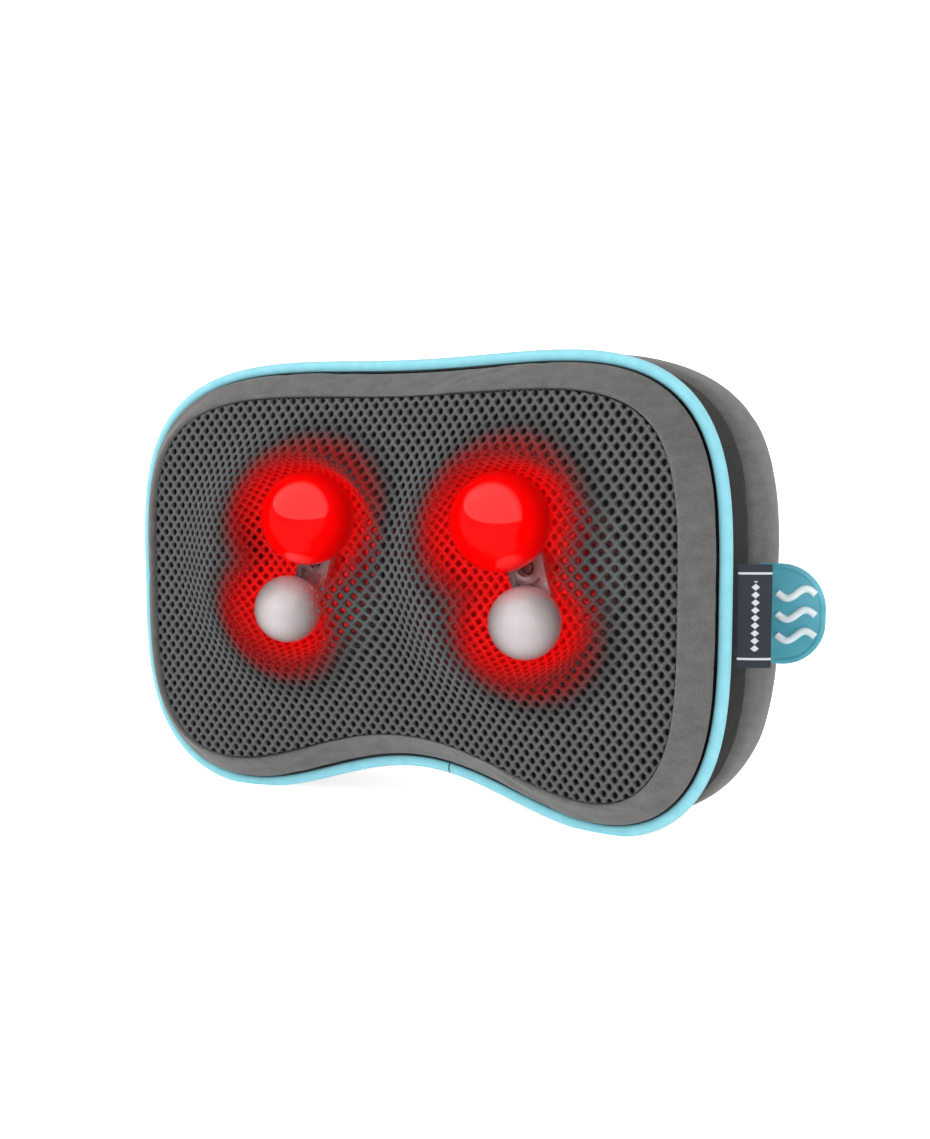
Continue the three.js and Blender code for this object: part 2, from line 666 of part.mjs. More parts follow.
// The arm, in the rotor's own frame: its shaft on the Y axis and the heated ball above.
function rotorArm() {
  const slab = (width, y0, y1) => {
    const length = HEATED.orbit - SMALL.orbit + width;
    return plate(roundedRectangle(width, length, width / 2, 0, (HEATED.orbit + SMALL.orbit) / 2), y0, y1);
  };
  const groove = slab(ARM_WIDTH - 2 * ARM_RAIL, ARM_FRONT_Y - 1, ARM_BACK_Y - 2);
  const channel = cut(slab(ARM_WIDTH, ARM_FRONT_Y, ARM_BACK_Y), groove);
  const whole = joined(
    channel,
    drum(9, ARM_FRONT_Y, HUB_Y),
    drum(14, ARM_FRONT_Y - COLLAR_RISE, ARM_BACK_Y, 0, HEATED.orbit, 20),
    drum(8, ARM_FRONT_Y, ARM_BACK_Y, 0, SMALL.orbit),
  );
  const hollowed = cut(
    whole,
    drum(8, ARM_FRONT_Y - COLLAR_RISE - 1, ARM_FRONT_Y, 0, HEATED.orbit),
    drum(SHAFT_RADIUS + GAP, HUB_Y - 8.4, HUB_Y + 1, 0, 0, 12),
    drum(2.5, ARM_FRONT_Y - 1, HUB_Y - 5, 0, 0, 10),
    drum(5, ARM_FRONT_Y - 1, ARM_FRONT_Y + 3, 0, 0, 12),
  );
  return joined(
    hollowed,
    drum(POST_RADIUS, BALL_Y - 15.4, ARM_BACK_Y - 1, 0, HEATED.orbit, 12),
    drum(5, BALL_Y + 12.4, ARM_BACK_Y - 1, 0, HEATED.orbit, 12),
    drum(POST_RADIUS, BALL_Y - 11.4, ARM_BACK_Y - 1, 0, SMALL.orbit, 12),
    drum(5, BALL_Y + BALL_CUT + 0.4, ARM_BACK_Y - 1, 0, SMALL.orbit, 12),
  );
}

// A ring board on the arm's collar, with four lamps that light the heated ball.
function heaterBoard() {
  const back = ARM_FRONT_Y - COLLAR_RISE - GAP;
  const ring = sleeve(7, 15.5, back - 1.6, back);
  const lamps = [0, 1, 2, 3].map((i) => {
    const angle = (i * Math.PI) / 2;
    const [x, z] = [11.5 * Math.cos(angle), 11.5 * Math.sin(angle)];
    return block(x - 1.5, x + 1.5, back - 2.8, back - 1.2, z - 1.5, z + 1.5);
  });
  return joined(ring, ...lamps).translate(0, 0, HEATED.orbit);
}

function brushBlock() {
  const body = block(-2, 2, -73, HOUSING.front - GAP, -3, 3);
  return joined(body, drum(1.4, HOUSING.front - 1, -67, 0, 0, 12));
}

// ---------------------------------------------------------------- control pod

// The hole that the pod's body takes in the gusset and the foam.
function podPocket() {
  const [halfY, halfZ] = [POD.halfDepth + 0.8, POD.halfHeight + 0.8];
  return block(POD.x - 4, POD.innerX + 0.8, POD.y - halfY, POD.y + halfY, -halfZ, halfZ);
}

function controlPod() {
  const face = plate(roundedRectangle(24, 56, 11), 0, 2.6);
  const flange = face.rotateZ(Math.PI / 2).translate(POD.x + 2.6, POD.y, 0);
  const body = block(
    POD.x + 1,
    POD.innerX,
    POD.y - POD.halfDepth,
    POD.y + POD.halfDepth,
    -POD.halfHeight,
    POD.halfHeight,
  );
  const shell = joined(flange, body);
  const along = (radius, z, x1 = -160) => rod(radius, POD.x - 1, x1, POD.y, z);
  return cut(
    shell,
    block(POD.x + 2.6, POD.innerX + 1, POD.y - 7.2, POD.y + 7.2, -23.2, 23.2),
    along(BUTTON_RADIUS + 0.4, POD_Z.button),
    along(1.9, POD_Z.lamp),
    along(4.2, POD_Z.inlet),
  );
}

function powerButton() {
  const cap = rod(BUTTON_RADIUS, POD.x - 2, POD.x + 4, POD.y, POD_Z.button, 20);
  const stem = rod(2.5, POD.x + 3, POD.x + 8, POD.y, POD_Z.button, 10);
  const lugs = block(POD.x + 3, POD.x + 4.4, POD.y - 3, POD.y + 3, POD_Z.button - 9.6, POD_Z.button + 9.6);
  return joined(cap, stem, lugs);
}

function indicatorLens() {
  return rod(1.6, POD.x - 0.4, POD.x + 4, POD.y, POD_Z.lamp, 14);
}

// A barrel socket: a block with a round blind hole round its contact pin.
function dcInlet() {
  const body = block(POD.x + 3, POD.x + 15, POD.y - 5, POD.y + 5, POD_Z.inlet - 5, POD_Z.inlet + 5);
  const nose = rod(3.9, POD.x + 0.3, POD.x + 4, POD.y, POD_Z.inlet);
  const hollow = rod(2.9, POD.x - 1, POD.x + 12, POD.y, POD_Z.inlet);
  const pin = rod(1, POD.x + 2, POD.x + 13, POD.y, POD_Z.inlet, 10);
  return joined(cut(joined(body, nose), hollow), pin);
}

function buttonBoard() {
  const board = block(-156, -154.4, POD.y - 6.8, POD.y + 6.8, -8, 22);
  const key = block(-162.4, -155.5, POD.y - 3, POD.y + 3, POD_Z.button - 3, POD_Z.button + 3);
  return joined(board, key);
}

function controlBoard() {
  const board = block(BOARD.x0, BOARD.x1, BOARD.y - 1.6, BOARD.y, BOARD.z0, BOARD.z1);
  const face = BOARD.y - 1;
  const chip = block(-8, 8, face - 2.5, face, 20, 30);
  const relay = block(12, 24, face - 9, face, 38, 52);
  const socket = block(-30, -20, face - 7, face, 38, 52);
  const capacitors = [12, 22].map((x) => drum(4, face - 11, face, x, 18, 12));
  return joined(board, chip, relay, socket, ...capacitors);
}

// ---------------------------------------------------------------- assembly

function addCover() {
  add('front_mesh_panel', frontMeshPanel(), 'mesh');
  add('front_border', frontBorder(), 'suede');
  add('piping', piping(), 'piping');
  add('side_gusset', sideGusset(), 'gusset');
  add('boxing_band', boxingBand(), 'suede');
  add('rear_panel', rearPanel(), 'suede');
  add('zip_tape', zipTape(), 'gusset');
  add('zip_slider', zipSlider(), 'steel');
  add('zip_puller', zipPuller(), 'steel');
  add('foam_surround', foamSurround(), 'foam');
  add('rear_foam_pad', rearFoamPad(), 'foam');
  add('side_label', sideLabel(), 'label');
  add('pull_tab', pullTab(), 'tab');
}

function addHousing() {
  add('rear_housing', rearHousing(), 'housing');
  add('front_housing', frontHousing(), 'housing');
  SCREW_PLACES.forEach(([x, z], i) => {
    add(`housing_screw_${i + 1}`, screw(1.5, 3.2, HOUSING.back - 2.8, -56, x, z), 'steel');
  });
}

function addDrive() {
  add('motor', motorBody(), 'steel');
  add('motor_clamp', motorClamp(), 'nylon');
  const shaftEnd = SHAFT_BUSH_X + 4;
  add('motor_shaft', rod(MOTOR_SHAFT_RADIUS, -shaftEnd, shaftEnd, MOTOR.y, MOTOR.z, 12), 'steel');
  bothSides((side, sign) => {
    const journal = sleeve(MOTOR_SHAFT_RADIUS + GAP, 3.5, -3, 3).rotateZ(Math.PI / 2);
    add(`shaft_bush_${side}`, journal.translate(sign * SHAFT_BUSH_X, MOTOR.y, MOTOR.z), 'brass');
    add(`worm_${side}`, worm(sign), 'brass').position.set(sign * ROTOR_X, MOTOR.y, MOTOR.z);
    add(`worm_wheel_${side}`, wormWheel(sign), 'nylon').position.set(sign * ROTOR_X, MOTOR.y, ROTOR_Z);
  });
}

function addHeads() {
  bothSides((side, sign) => {
    const rotor = new THREE.Group();
    rotor.position.set(sign * ROTOR_X, 0, ROTOR_Z);
    massager.add(rotor);
    add(`output_shaft_${side}`, outputShaft(), 'steel', rotor);
    add(`front_bush_${side}`, collaredBush(SHAFT_RADIUS + GAP, -71, -59.2), 'brass', rotor);
    add(`rear_bush_${side}`, sleeve(SHAFT_RADIUS + GAP, BUSH_RADIUS, -33, -23.2), 'brass', rotor);
    add(`slip_ring_${side}`, sleeve(SHAFT_RADIUS + GAP, 15, -74.7, -73.3), 'brass', rotor);
    add(`brush_block_${side}`, brushBlock(), 'control', rotor).position.x = -sign * BRUSH_REACH;

    const arm = new THREE.Group();
    arm.rotation.y = -sign * ROTOR_TILT;
    rotor.add(arm);
    add(`rotor_arm_${side}`, rotorArm(), 'arm', arm);
    add(`arm_screw_${side}`, screw(2, 4.4, 86.3, 74, 0, 0).rotateX(Math.PI), 'steel', arm);
    add(`heater_board_${side}`, heaterBoard(), 'board', arm);
    add(`heated_ball_${side}`, heatedBall(), 'heated', arm).position.set(0, BALL_Y, HEATED.orbit);
    add(`small_ball_${side}`, smallBall(), 'pearl', arm).position.set(0, BALL_Y, SMALL.orbit);
  });
}

function addControls() {
  add('control_pod', controlPod(), 'control');
  add('power_button', powerButton(), 'control');
  add('indicator_lens', indicatorLens(), 'lamp');
  add('dc_inlet', dcInlet(), 'control');
  add('button_board', buttonBoard(), 'board');
  add('control_board', controlBoard(), 'board');
}

function addLeads() {
  const wall = -HOUSING.width / 2;
  const route = (startX, startZ, lift) => [
    [startX, POD.y, startZ],
    [-144, POD.y + 2, startZ + 3],
    [-134, POD.y + 14, (startZ + LEAD_HOLE.z) / 2],
    [wall - 7, LEAD_HOLE.y - 10, LEAD_HOLE.z + lift],
    [wall + 2, LEAD_HOLE.y, LEAD_HOLE.z + lift],
    [-90, LEAD_HOLE.y + 2, LEAD_HOLE.z + lift],
    [BOARD.x0 - 1, BOARD.y - 0.8, LEAD_HOLE.z + lift],
  ];
  add('inlet_lead', lead(route(POD.x + 15.9, POD_Z.inlet, -2.2)), 'lead');
  add('button_lead', lead(route(-153.4, 4, 2.2)), 'lead');
  add('motor_lead', lead([[22, -45, 6], [20, -42, 10], [14, -36, 11], [4, -31.4, 11]]), 'lead');
  bothSides((side, sign) => {
    const start = sign * (ROTOR_X - BRUSH_REACH);
    const end = [[sign * 44, -62, 20], [sign * 36, -54, 30], [sign * 32, -42, 34], [sign * 29, -31.4, 33]];
    add(`brush_lead_${side}`, lead([[start, -66.4, ROTOR_Z], [start, -64.5, ROTOR_Z], ...end]), 'lead');
  });
}

addCover();
addHousing();
addDrive();
addHeads();
addControls();
addLeads();

export default massager;
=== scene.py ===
import json
import math

import bmesh
import bpy
import numpy as np
from mathutils import Matrix, Vector
from mathutils.geometry import delaunay_2d_cdt


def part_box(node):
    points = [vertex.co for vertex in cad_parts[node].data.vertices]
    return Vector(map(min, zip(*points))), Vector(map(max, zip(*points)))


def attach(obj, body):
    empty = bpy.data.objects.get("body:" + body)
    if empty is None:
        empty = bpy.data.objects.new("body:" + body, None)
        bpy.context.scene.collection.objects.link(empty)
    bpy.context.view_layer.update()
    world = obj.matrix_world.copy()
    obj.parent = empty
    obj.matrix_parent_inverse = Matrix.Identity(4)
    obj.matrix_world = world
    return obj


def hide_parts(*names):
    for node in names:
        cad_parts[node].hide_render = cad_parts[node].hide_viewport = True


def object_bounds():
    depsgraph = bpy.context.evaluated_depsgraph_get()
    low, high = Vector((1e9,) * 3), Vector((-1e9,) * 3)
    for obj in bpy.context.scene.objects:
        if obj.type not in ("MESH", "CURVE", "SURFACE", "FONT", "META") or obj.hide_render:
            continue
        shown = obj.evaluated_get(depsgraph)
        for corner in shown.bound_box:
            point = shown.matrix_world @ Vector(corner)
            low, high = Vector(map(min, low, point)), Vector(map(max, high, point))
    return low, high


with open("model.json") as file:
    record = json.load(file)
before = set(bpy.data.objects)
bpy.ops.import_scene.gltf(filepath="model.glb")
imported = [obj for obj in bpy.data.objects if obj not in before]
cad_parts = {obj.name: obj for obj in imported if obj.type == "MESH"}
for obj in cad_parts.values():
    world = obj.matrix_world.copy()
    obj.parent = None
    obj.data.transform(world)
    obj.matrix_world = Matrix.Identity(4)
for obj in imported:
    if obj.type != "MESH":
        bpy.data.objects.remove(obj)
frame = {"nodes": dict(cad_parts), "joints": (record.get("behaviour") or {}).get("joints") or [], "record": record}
cad_low, cad_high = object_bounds()

# ---- sizes, in metres


def joint_place(name):
    joint = next(j for j in frame["joints"] if j["name"] == name)
    return Vector(joint["pos_m"])


PIPING_RADIUS = 0.0032
HALF_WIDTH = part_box("piping")[1].x - PIPING_RADIUS  # of the piping's centreline
HALF_HEIGHT = 0.133  # of the superellipse that the outline starts from
SQUARENESS = 3.5
NECK_SHARE, NECK_REACH = 0.29, 0.092  # how far the underside is drawn in, and how widely
TOP_SHARE, TOP_REACH = 0.145, 0.175  # the same along the top
PIPING_Y = -0.083  # the piping's plane at mid-width
END_SWEEP = 0.018  # how far the two ends of the front come forward
REST_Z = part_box("boxing_band")[0].z  # the plane that the lobes stand on

MESH_INSET = 0.0173  # from the piping to the edge of the mesh
MESH_RISE = 0.019  # from the piping's plane to the edge of the mesh
CROWN = 0.009  # and from there to the middle of the mesh, without the heads
HEAD_TOP_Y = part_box("front_mesh_panel")[0].y
HEAD_FLAT = 0.032  # radius of the flat top that the mesh has over a head
HEAD_FADE = 0.080  # radius at which that dome has run out
ROTOR = joint_place("right_rotor_spin")
BALL_RADIUS = {"heated": 0.025, "small": 0.0182}  # of the two kinds of ball on a head
HEAD_BLEND = 0.012  # how softly the glow of one ball runs into the next
GLOW_LEAD = 0.010  # how far the glow lies to the right on the mesh, and to the left behind the balls

AROUND = 288  # stations round the outline
NET_PITCH = 0.0059  # between the holes of a row
NET_ROW = 0.0037  # between rows
HOLE = (0.00130, 0.00168)  # half the width and half the height of a hole
SIDES = (("left", -1), ("right", 1))

# The pocket liner's section, as (radius, y): round the hub, along the floor, up and out.
LINER = [
    (0.0, -0.0805),
    (0.0340, -0.0808),
    (0.0425, -0.0838),
    (0.0488, -0.0925),
    (0.0522, -0.1010),
    (0.0572, -0.1085),
    (0.0620, -0.1150),
    (0.0660, -0.1200),
]
FLARE = LINER[-1][0]


# ---- outline and front surface


def joined(*parts):
    """Arrays joined along a new last axis, such as coordinates into points."""
    return np.stack(parts, axis=-1)


def smoothstep(x, low, high):
    t = np.clip((x - low) / (high - low), 0, 1)
    return t * t * (3 - 2 * t)


def bean(turn):
    """Points (x, z) of the piping's centreline, for turns of 0 to 1 clockwise from the top."""
    s = np.sin(2 * np.pi * turn)
    c = np.cos(2 * np.pi * turn)
    power = 2 / SQUARENESS
    x = HALF_WIDTH * np.sign(s) * np.abs(s) ** power
    neck = 1 - NECK_SHARE * np.exp(-((x / NECK_REACH) ** 2))
    dip = 1 - TOP_SHARE * np.exp(-((x / TOP_REACH) ** 2))
    z = HALF_HEIGHT * np.sign(c) * np.abs(c) ** power * np.where(c < 0, neck, dip)
    return joined(x, z)


def run_of(line):
    """How far along a line each of its points lies. For a grid, the mean of its lines."""
    steps = np.linalg.norm(np.diff(line, axis=0), axis=-1)
    return np.concatenate([[0], np.cumsum(steps.reshape(len(steps), -1).mean(axis=1))])


def at_run(wanted, run, line):
    """The points of a line that lie at the wanted distances along it."""
    return joined(*(np.interp(wanted, run, part) for part in line.T))


def stations(count):
    """Evenly spaced points of the outline, and their outward directions."""
    fine = bean(np.linspace(0, 1, 20 * count + 1))
    run = run_of(fine)
    at = at_run(run[-1] * np.arange(count) / count, run, fine)
    along = np.roll(at, -2, axis=0) - np.roll(at, 2, axis=0)
    along /= np.linalg.norm(along, axis=1, keepdims=True)
    out = joined(-along[:, 1], along[:, 0])
    return at, out


def piping_shift(x):
    """How far the piping's plane lies in front of its middle at x."""
    return -END_SWEEP * (x / HALF_WIDTH) ** 2


def inset_loop(inset, count=AROUND):
    """The outline (x, z), drawn in by inset."""
    at, out = stations(count)
    loop = at - inset * out
    loop[:, 1] = np.maximum(loop[:, 1], REST_Z)
    return loop


def share_of(loop, x, z):
    """How far out a point lies: 0 in the middle and 1 on the loop."""
    angle = np.arctan2(loop[:, 0], loop[:, 1])
    order = np.argsort(angle)
    reach = np.hypot(loop[:, 0], loop[:, 1])
    edge = np.interp(np.arctan2(x, z), angle[order], reach[order], period=2 * np.pi)
    return np.hypot(x, z) / edge


MESH_LOOP = inset_loop(MESH_INSET)


def mesh_y(x, z):
    """The front face of the mesh, domed over the two heads."""
    share = np.clip(share_of(MESH_LOOP, x, z), 0, 1)
    base = PIPING_Y + piping_shift(x) - MESH_RISE - CROWN * (1 - share**2)
    faded = 1.0
    for _, side in SIDES:
        reach = np.hypot(x - side * ROTOR.x, z - ROTOR.z)
        faded = faded * smoothstep(reach, HEAD_FLAT, HEAD_FADE)
    return base + (HEAD_TOP_Y - base) * (1 - faded)


def smooth_line(points, count):
    """A Catmull-Rom line through points, as count evenly spaced points."""
    p = np.array(points, float)
    p = np.vstack([2 * p[0] - p[1], p, 2 * p[-1] - p[-2]])
    t = np.linspace(0, 1, 24, endpoint=False)[:, None]
    parts = []
    for a, b, c, d in zip(p, p[1:], p[2:], p[3:]):
        second = a - 2.5 * b + 2 * c - d / 2
        third = 1.5 * (b - c) + (d - a) / 2
        parts.append(b + (c - a) * t / 2 + second * t**2 + third * t**3)
    fine = np.vstack([*parts, p[-2:-1]])
    run = run_of(fine)
    return at_run(np.linspace(0, run[-1], count), run, fine)


# ---- meshes


def set_up(thing, **settings):
    """Sets several of a thing's properties, and returns it."""
    for key, value in settings.items():
        setattr(thing, key, value)
    return thing


def linked(name, data):
    """A new object in the scene."""
    made = bpy.data.objects.new(name, data)
    bpy.context.collection.objects.link(made)
    return made


def piece_of(name, points, faces, look):
    mesh = bpy.data.meshes.new(name)
    mesh.from_pydata(np.asarray(points).tolist(), [], np.asarray(faces).tolist())
    mesh.materials.append(look)
    mesh.shade_smooth()
    return linked(name, mesh)


def points_of(mesh):
    points = np.empty(len(mesh.vertices) * 3)
    mesh.vertices.foreach_get("co", points)
    return points.reshape(-1, 3)


def grid_piece(name, grid, look, closed=False):
    """A sheet over a grid of points [along, across], with its cloth lengths as UVs."""
    count, rows = grid.shape[:2]
    spans = count if closed else count - 1
    i, j = np.meshgrid(np.arange(spans), np.arange(rows - 1), indexing="ij")
    i, j = i.ravel(), j.ravel()
    k = (i + 1) % count
    faces = joined(i * rows + j, k * rows + j, k * rows + j + 1, i * rows + j + 1)
    piece = piece_of(name, grid.reshape(-1, 3), faces, look)
    u = run_of(np.concatenate([grid, grid[:1]]) if closed else grid)
    v = run_of(grid.swapaxes(0, 1))
    corners = joined(u[i], v[j], u[i + 1], v[j], u[i + 1], v[j + 1], u[i], v[j + 1])
    piece.data.uv_layers.new(name="cloth").data.foreach_set("uv", corners.ravel())
    return piece


def swept(section):
    """A grid round the outline. A section point is (inset, y, follow), and follow is how
    much of the sweep of the piping's plane it takes up."""
    line = np.array(section)
    at, out = stations(AROUND)
    x = at[:, :1] - line[:, 0] * out[:, :1]
    z = np.maximum(at[:, 1:] - line[:, 0] * out[:, 1:], REST_Z)
    y = line[:, 1] + line[:, 2] * piping_shift(at[:, :1])
    return joined(x, y, z)


def inside(loop, points):
    """Whether each point (x, z) lies inside a loop."""
    hit = np.zeros(len(points), bool)
    for (x0, z0), (x1, z1) in zip(loop, np.roll(loop, -1, axis=0)):
        if z0 == z1:
            continue
        crosses = (z0 > points[:, 1]) != (z1 > points[:, 1])
        hit ^= crosses & (points[:, 0] < x0 + (points[:, 1] - z0) * (x1 - x0) / (z1 - z0))
    return hit


def flat_piece(name, loops, holes, spacing, lift, look, backwards=False):
    """A sheet inside loops[0], outside the holes, raised by lift(x, z), with (x, z) as UVs."""
    everything = [*loops, *holes]
    low, high = loops[0].min(axis=0), loops[0].max(axis=0)
    steps = [np.arange(a + spacing / 2, b, spacing) for a, b in zip(low, high)]
    field = joined(*np.meshgrid(*steps)).reshape(-1, 2)
    rims = np.vstack(everything)
    near = [np.min(np.abs(rims - p).max(axis=1)) < spacing * 0.45 for p in field]
    field = field[~np.array(near)]
    edges, start = [], 0
    for loop in everything:
        count = len(loop)
        edges += [(start + i, start + (i + 1) % count) for i in range(count)]
        start += count
    points = [Vector(p) for p in np.vstack([rims, field])]
    verts, _, faces, *_ = delaunay_2d_cdt(points, edges, [], 0, 1e-7)
    flat, faces = np.array(verts), np.array(faces)
    middle = flat[faces].mean(axis=1)
    kept = inside(loops[0], middle)
    for hole in holes:
        kept &= ~inside(hole, middle)
    faces = faces[kept][:, ::-1] if backwards else faces[kept]
    solid = joined(flat[:, 0], lift(flat[:, 0], flat[:, 1]), flat[:, 1])
    piece = piece_of(name, solid, faces, look)
    piece.data.uv_layers.new(name="cloth").data.foreach_set("uv", flat[faces].ravel())
    return piece


def turned(name, profile, centre, look, sides=72):
    """A profile of (radius, y) points, turned about the line along Y through centre."""
    angle = 2 * np.pi * np.arange(sides) / sides
    r, y = np.array(profile, float).T
    grid = joined(np.outer(np.sin(angle), r), np.tile(y, (sides, 1)), np.outer(np.cos(angle), r))
    piece = grid_piece(name, grid + np.array(centre), look, closed=True)
    merged(piece.data, 1e-6)
    return piece


def bevelled(name, path, closed, **shape):
    """A curve along path, with a thickness."""
    curve = set_up(bpy.data.curves.new(name, "CURVE"), **shape)
    spline = curve.splines.new("POLY")
    spline.points.add(len(path) - 1)
    spline.points.foreach_set("co", np.column_stack([path, np.ones(len(path))]).ravel())
    spline.use_cyclic_u = closed
    return linked(name, curve)


def tube(name, path, radius, look, closed=False, sides=3):
    """A round cord along path."""
    shape = {"bevel_depth": radius, "bevel_resolution": sides, "use_fill_caps": True}
    return baked(bevelled(name, path, closed, dimensions="3D", **shape), look)


def baked(source, look):
    """The mesh that an object evaluates to, where it stands, as a piece of the same name."""
    name = source.name
    source.name = name + "_source"
    bpy.context.view_layer.update()
    mesh = bpy.data.meshes.new_from_object(source.evaluated_get(bpy.context.evaluated_depsgraph_get()))
    mesh.transform(source.matrix_world)
    bpy.data.objects.remove(source)
    mesh.materials.clear()
    mesh.materials.append(look)
    mesh.shade_smooth()
    return linked(name, mesh)


def merged(mesh, distance, flatten=False):
    """Welds a mesh, and either makes its flat faces whole or drops its empty faces."""
    work = bmesh.new()
    work.from_mesh(mesh)
    bmesh.ops.remove_doubles(work, verts=work.verts, dist=distance)
    if flatten:
        bmesh.ops.dissolve_limit(work, angle_limit=math.radians(1), verts=work.verts, edges=work.edges)
    else:
        bmesh.ops.dissolve_degenerate(work, edges=work.edges, dist=distance)
    work.to_mesh(mesh)
    work.free()


def copied(node, name):
    """A copy of a CAD node's mesh, welded, and its flat faces made whole."""
    mesh = frame["nodes"][node].data.copy()
    merged(mesh, 1e-6, flatten=True)
    return linked(name, mesh)


def eased(node, width, look, body="pillow"):
    """A hard part with its sharp edges rounded off, standing for its CAD node."""
    piece = copied(node, node + "_eased")
    bevel = piece.modifiers.new("bevel", "BEVEL")
    set_up(bevel, width=width, segments=2, limit_method="ANGLE", angle_limit=math.radians(40))
    piece = baked(piece, look)
    piece.data.set_sharp_from_angle(angle=math.radians(35))
    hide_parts(node)
    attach(piece, body)
    return piece


FOAM_SET_BACK = 0.0042  # of the foam behind the mesh's face
FOAM_GAP = 0.0022  # between the pocket's liner and the foam


def cut_foam(node, voxel, look):
    """A block of cut foam: its CAD solid with the corners worn round."""
    piece = copied(node, node + "_block")
    set_up(piece.modifiers.new("remesh", "REMESH"), mode="VOXEL", voxel_size=voxel)
    set_up(piece.modifiers.new("worn", "SMOOTH"), factor=0.5, iterations=5)
    piece = baked(piece, look)
    points = points_of(piece.data)
    behind = mesh_y(points[:, 0], points[:, 2]) + FOAM_SET_BACK
    reach = np.hypot(np.abs(points[:, 0]) - ROTOR.x, points[:, 2] - ROTOR.z)
    flared = np.interp(reach, *np.array(LINER).T) + FOAM_GAP
    behind = np.where(reach < FLARE, np.maximum(behind, flared), behind)
    under = share_of(MESH_LOOP, points[:, 0], points[:, 2]) < 1
    points[:, 1] = np.where(under, np.maximum(points[:, 1], behind), points[:, 1])
    piece.data.vertices.foreach_set("co", points.ravel())
    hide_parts(node)
    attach(piece, "pillow")
    return piece


def stitches(name, path, look, length=0.0026, gap=0.0010, radius=0.00028, sides=6):
    """A row of stitches along a closed path on the back, each lying a little into the cloth."""
    ring = np.vstack([path, path[:1]])
    run = run_of(ring)
    count = int(run[-1] / (length + gap))
    middle = (np.arange(count) + 0.5) * run[-1] / count
    # Where each of a stitch's rings lies along it, and how thick the thread is there.
    share, swell = np.array([(-0.5, 0.15), (-0.3, 0.9), (0.0, 1.0), (0.3, 0.9), (0.5, 0.15)]).T
    wanted = middle[:, None] + share * length
    at = at_run(wanted, run, ring)
    forward = at_run(wanted + 1e-4, run, ring) - at
    forward /= np.linalg.norm(forward, axis=-1, keepdims=True)
    out = np.array([0.0, 1.0, 0.0])
    side = np.cross(forward, out)
    crest = at + out * radius * (1 - (2 * share[:, None]) ** 2)
    a = 2 * np.pi * np.arange(sides)[:, None] / sides
    spokes = np.cos(a) * side[:, :, None] + np.sin(a) * out
    points = crest[:, :, None] + radius * swell[:, None, None] * spokes
    here = np.arange(count * len(share) * sides).reshape(count, len(share), sides)
    there = np.roll(here, -1, axis=2)
    faces = joined(here[:, :-1], there[:, :-1], there[:, 1:], here[:, 1:])
    return piece_of(name, points.reshape(-1, 3), faces.reshape(-1, 4), look)


STUFFING_FRAMES = 20


def stuff_panels(panels):
    """Blows the sewn panels up between their pinned seams with a short cloth simulation.
    A panel is (piece, points pinned at its seams, pressure, spare cloth, furthest move of a point)."""
    scene = bpy.context.scene
    for piece, pinned, pressure, spare, _ in panels:
        group = piece.vertex_groups.new(name="seams")
        group.add(pinned, 1.0, "REPLACE")
        cloth = piece.modifiers.new("cloth", "CLOTH")
        set_up(
            cloth.settings,
            quality=6,
            mass=0.25,
            tension_stiffness=20,
            compression_stiffness=20,
            shear_stiffness=8,
            bending_stiffness=0.6,
            vertex_group_mass="seams",
            use_pressure=True,
            uniform_pressure_force=pressure,
            shrink_min=-spare,
        )
        cloth.settings.effector_weights.gravity = 0
        cloth.point_cache.frame_end = STUFFING_FRAMES
    for number in range(1, STUFFING_FRAMES + 1):
        scene.frame_set(number)
    graph = bpy.context.evaluated_depsgraph_get()
    for piece, _, _, _, furthest in panels:
        rest = points_of(piece.data)
        move = points_of(piece.evaluated_get(graph).data) - rest
        size = np.maximum(np.linalg.norm(move, axis=1, keepdims=True), 1e-9)
        rest += move * furthest * np.tanh(size / furthest) / size
        rest[:, 2] = np.maximum(rest[:, 2], REST_Z)
        piece.data.vertices.foreach_set("co", rest.ravel())
        piece.modifiers.remove(piece.modifiers["cloth"])
        piece.data.update()
    scene.frame_set(1)


def softened(piece):
    """Adds one level of smooth subdivision."""
    set_up(piece.modifiers.new("smooth", "SUBSURF"), levels=1, render_levels=1)


# ---- node materials


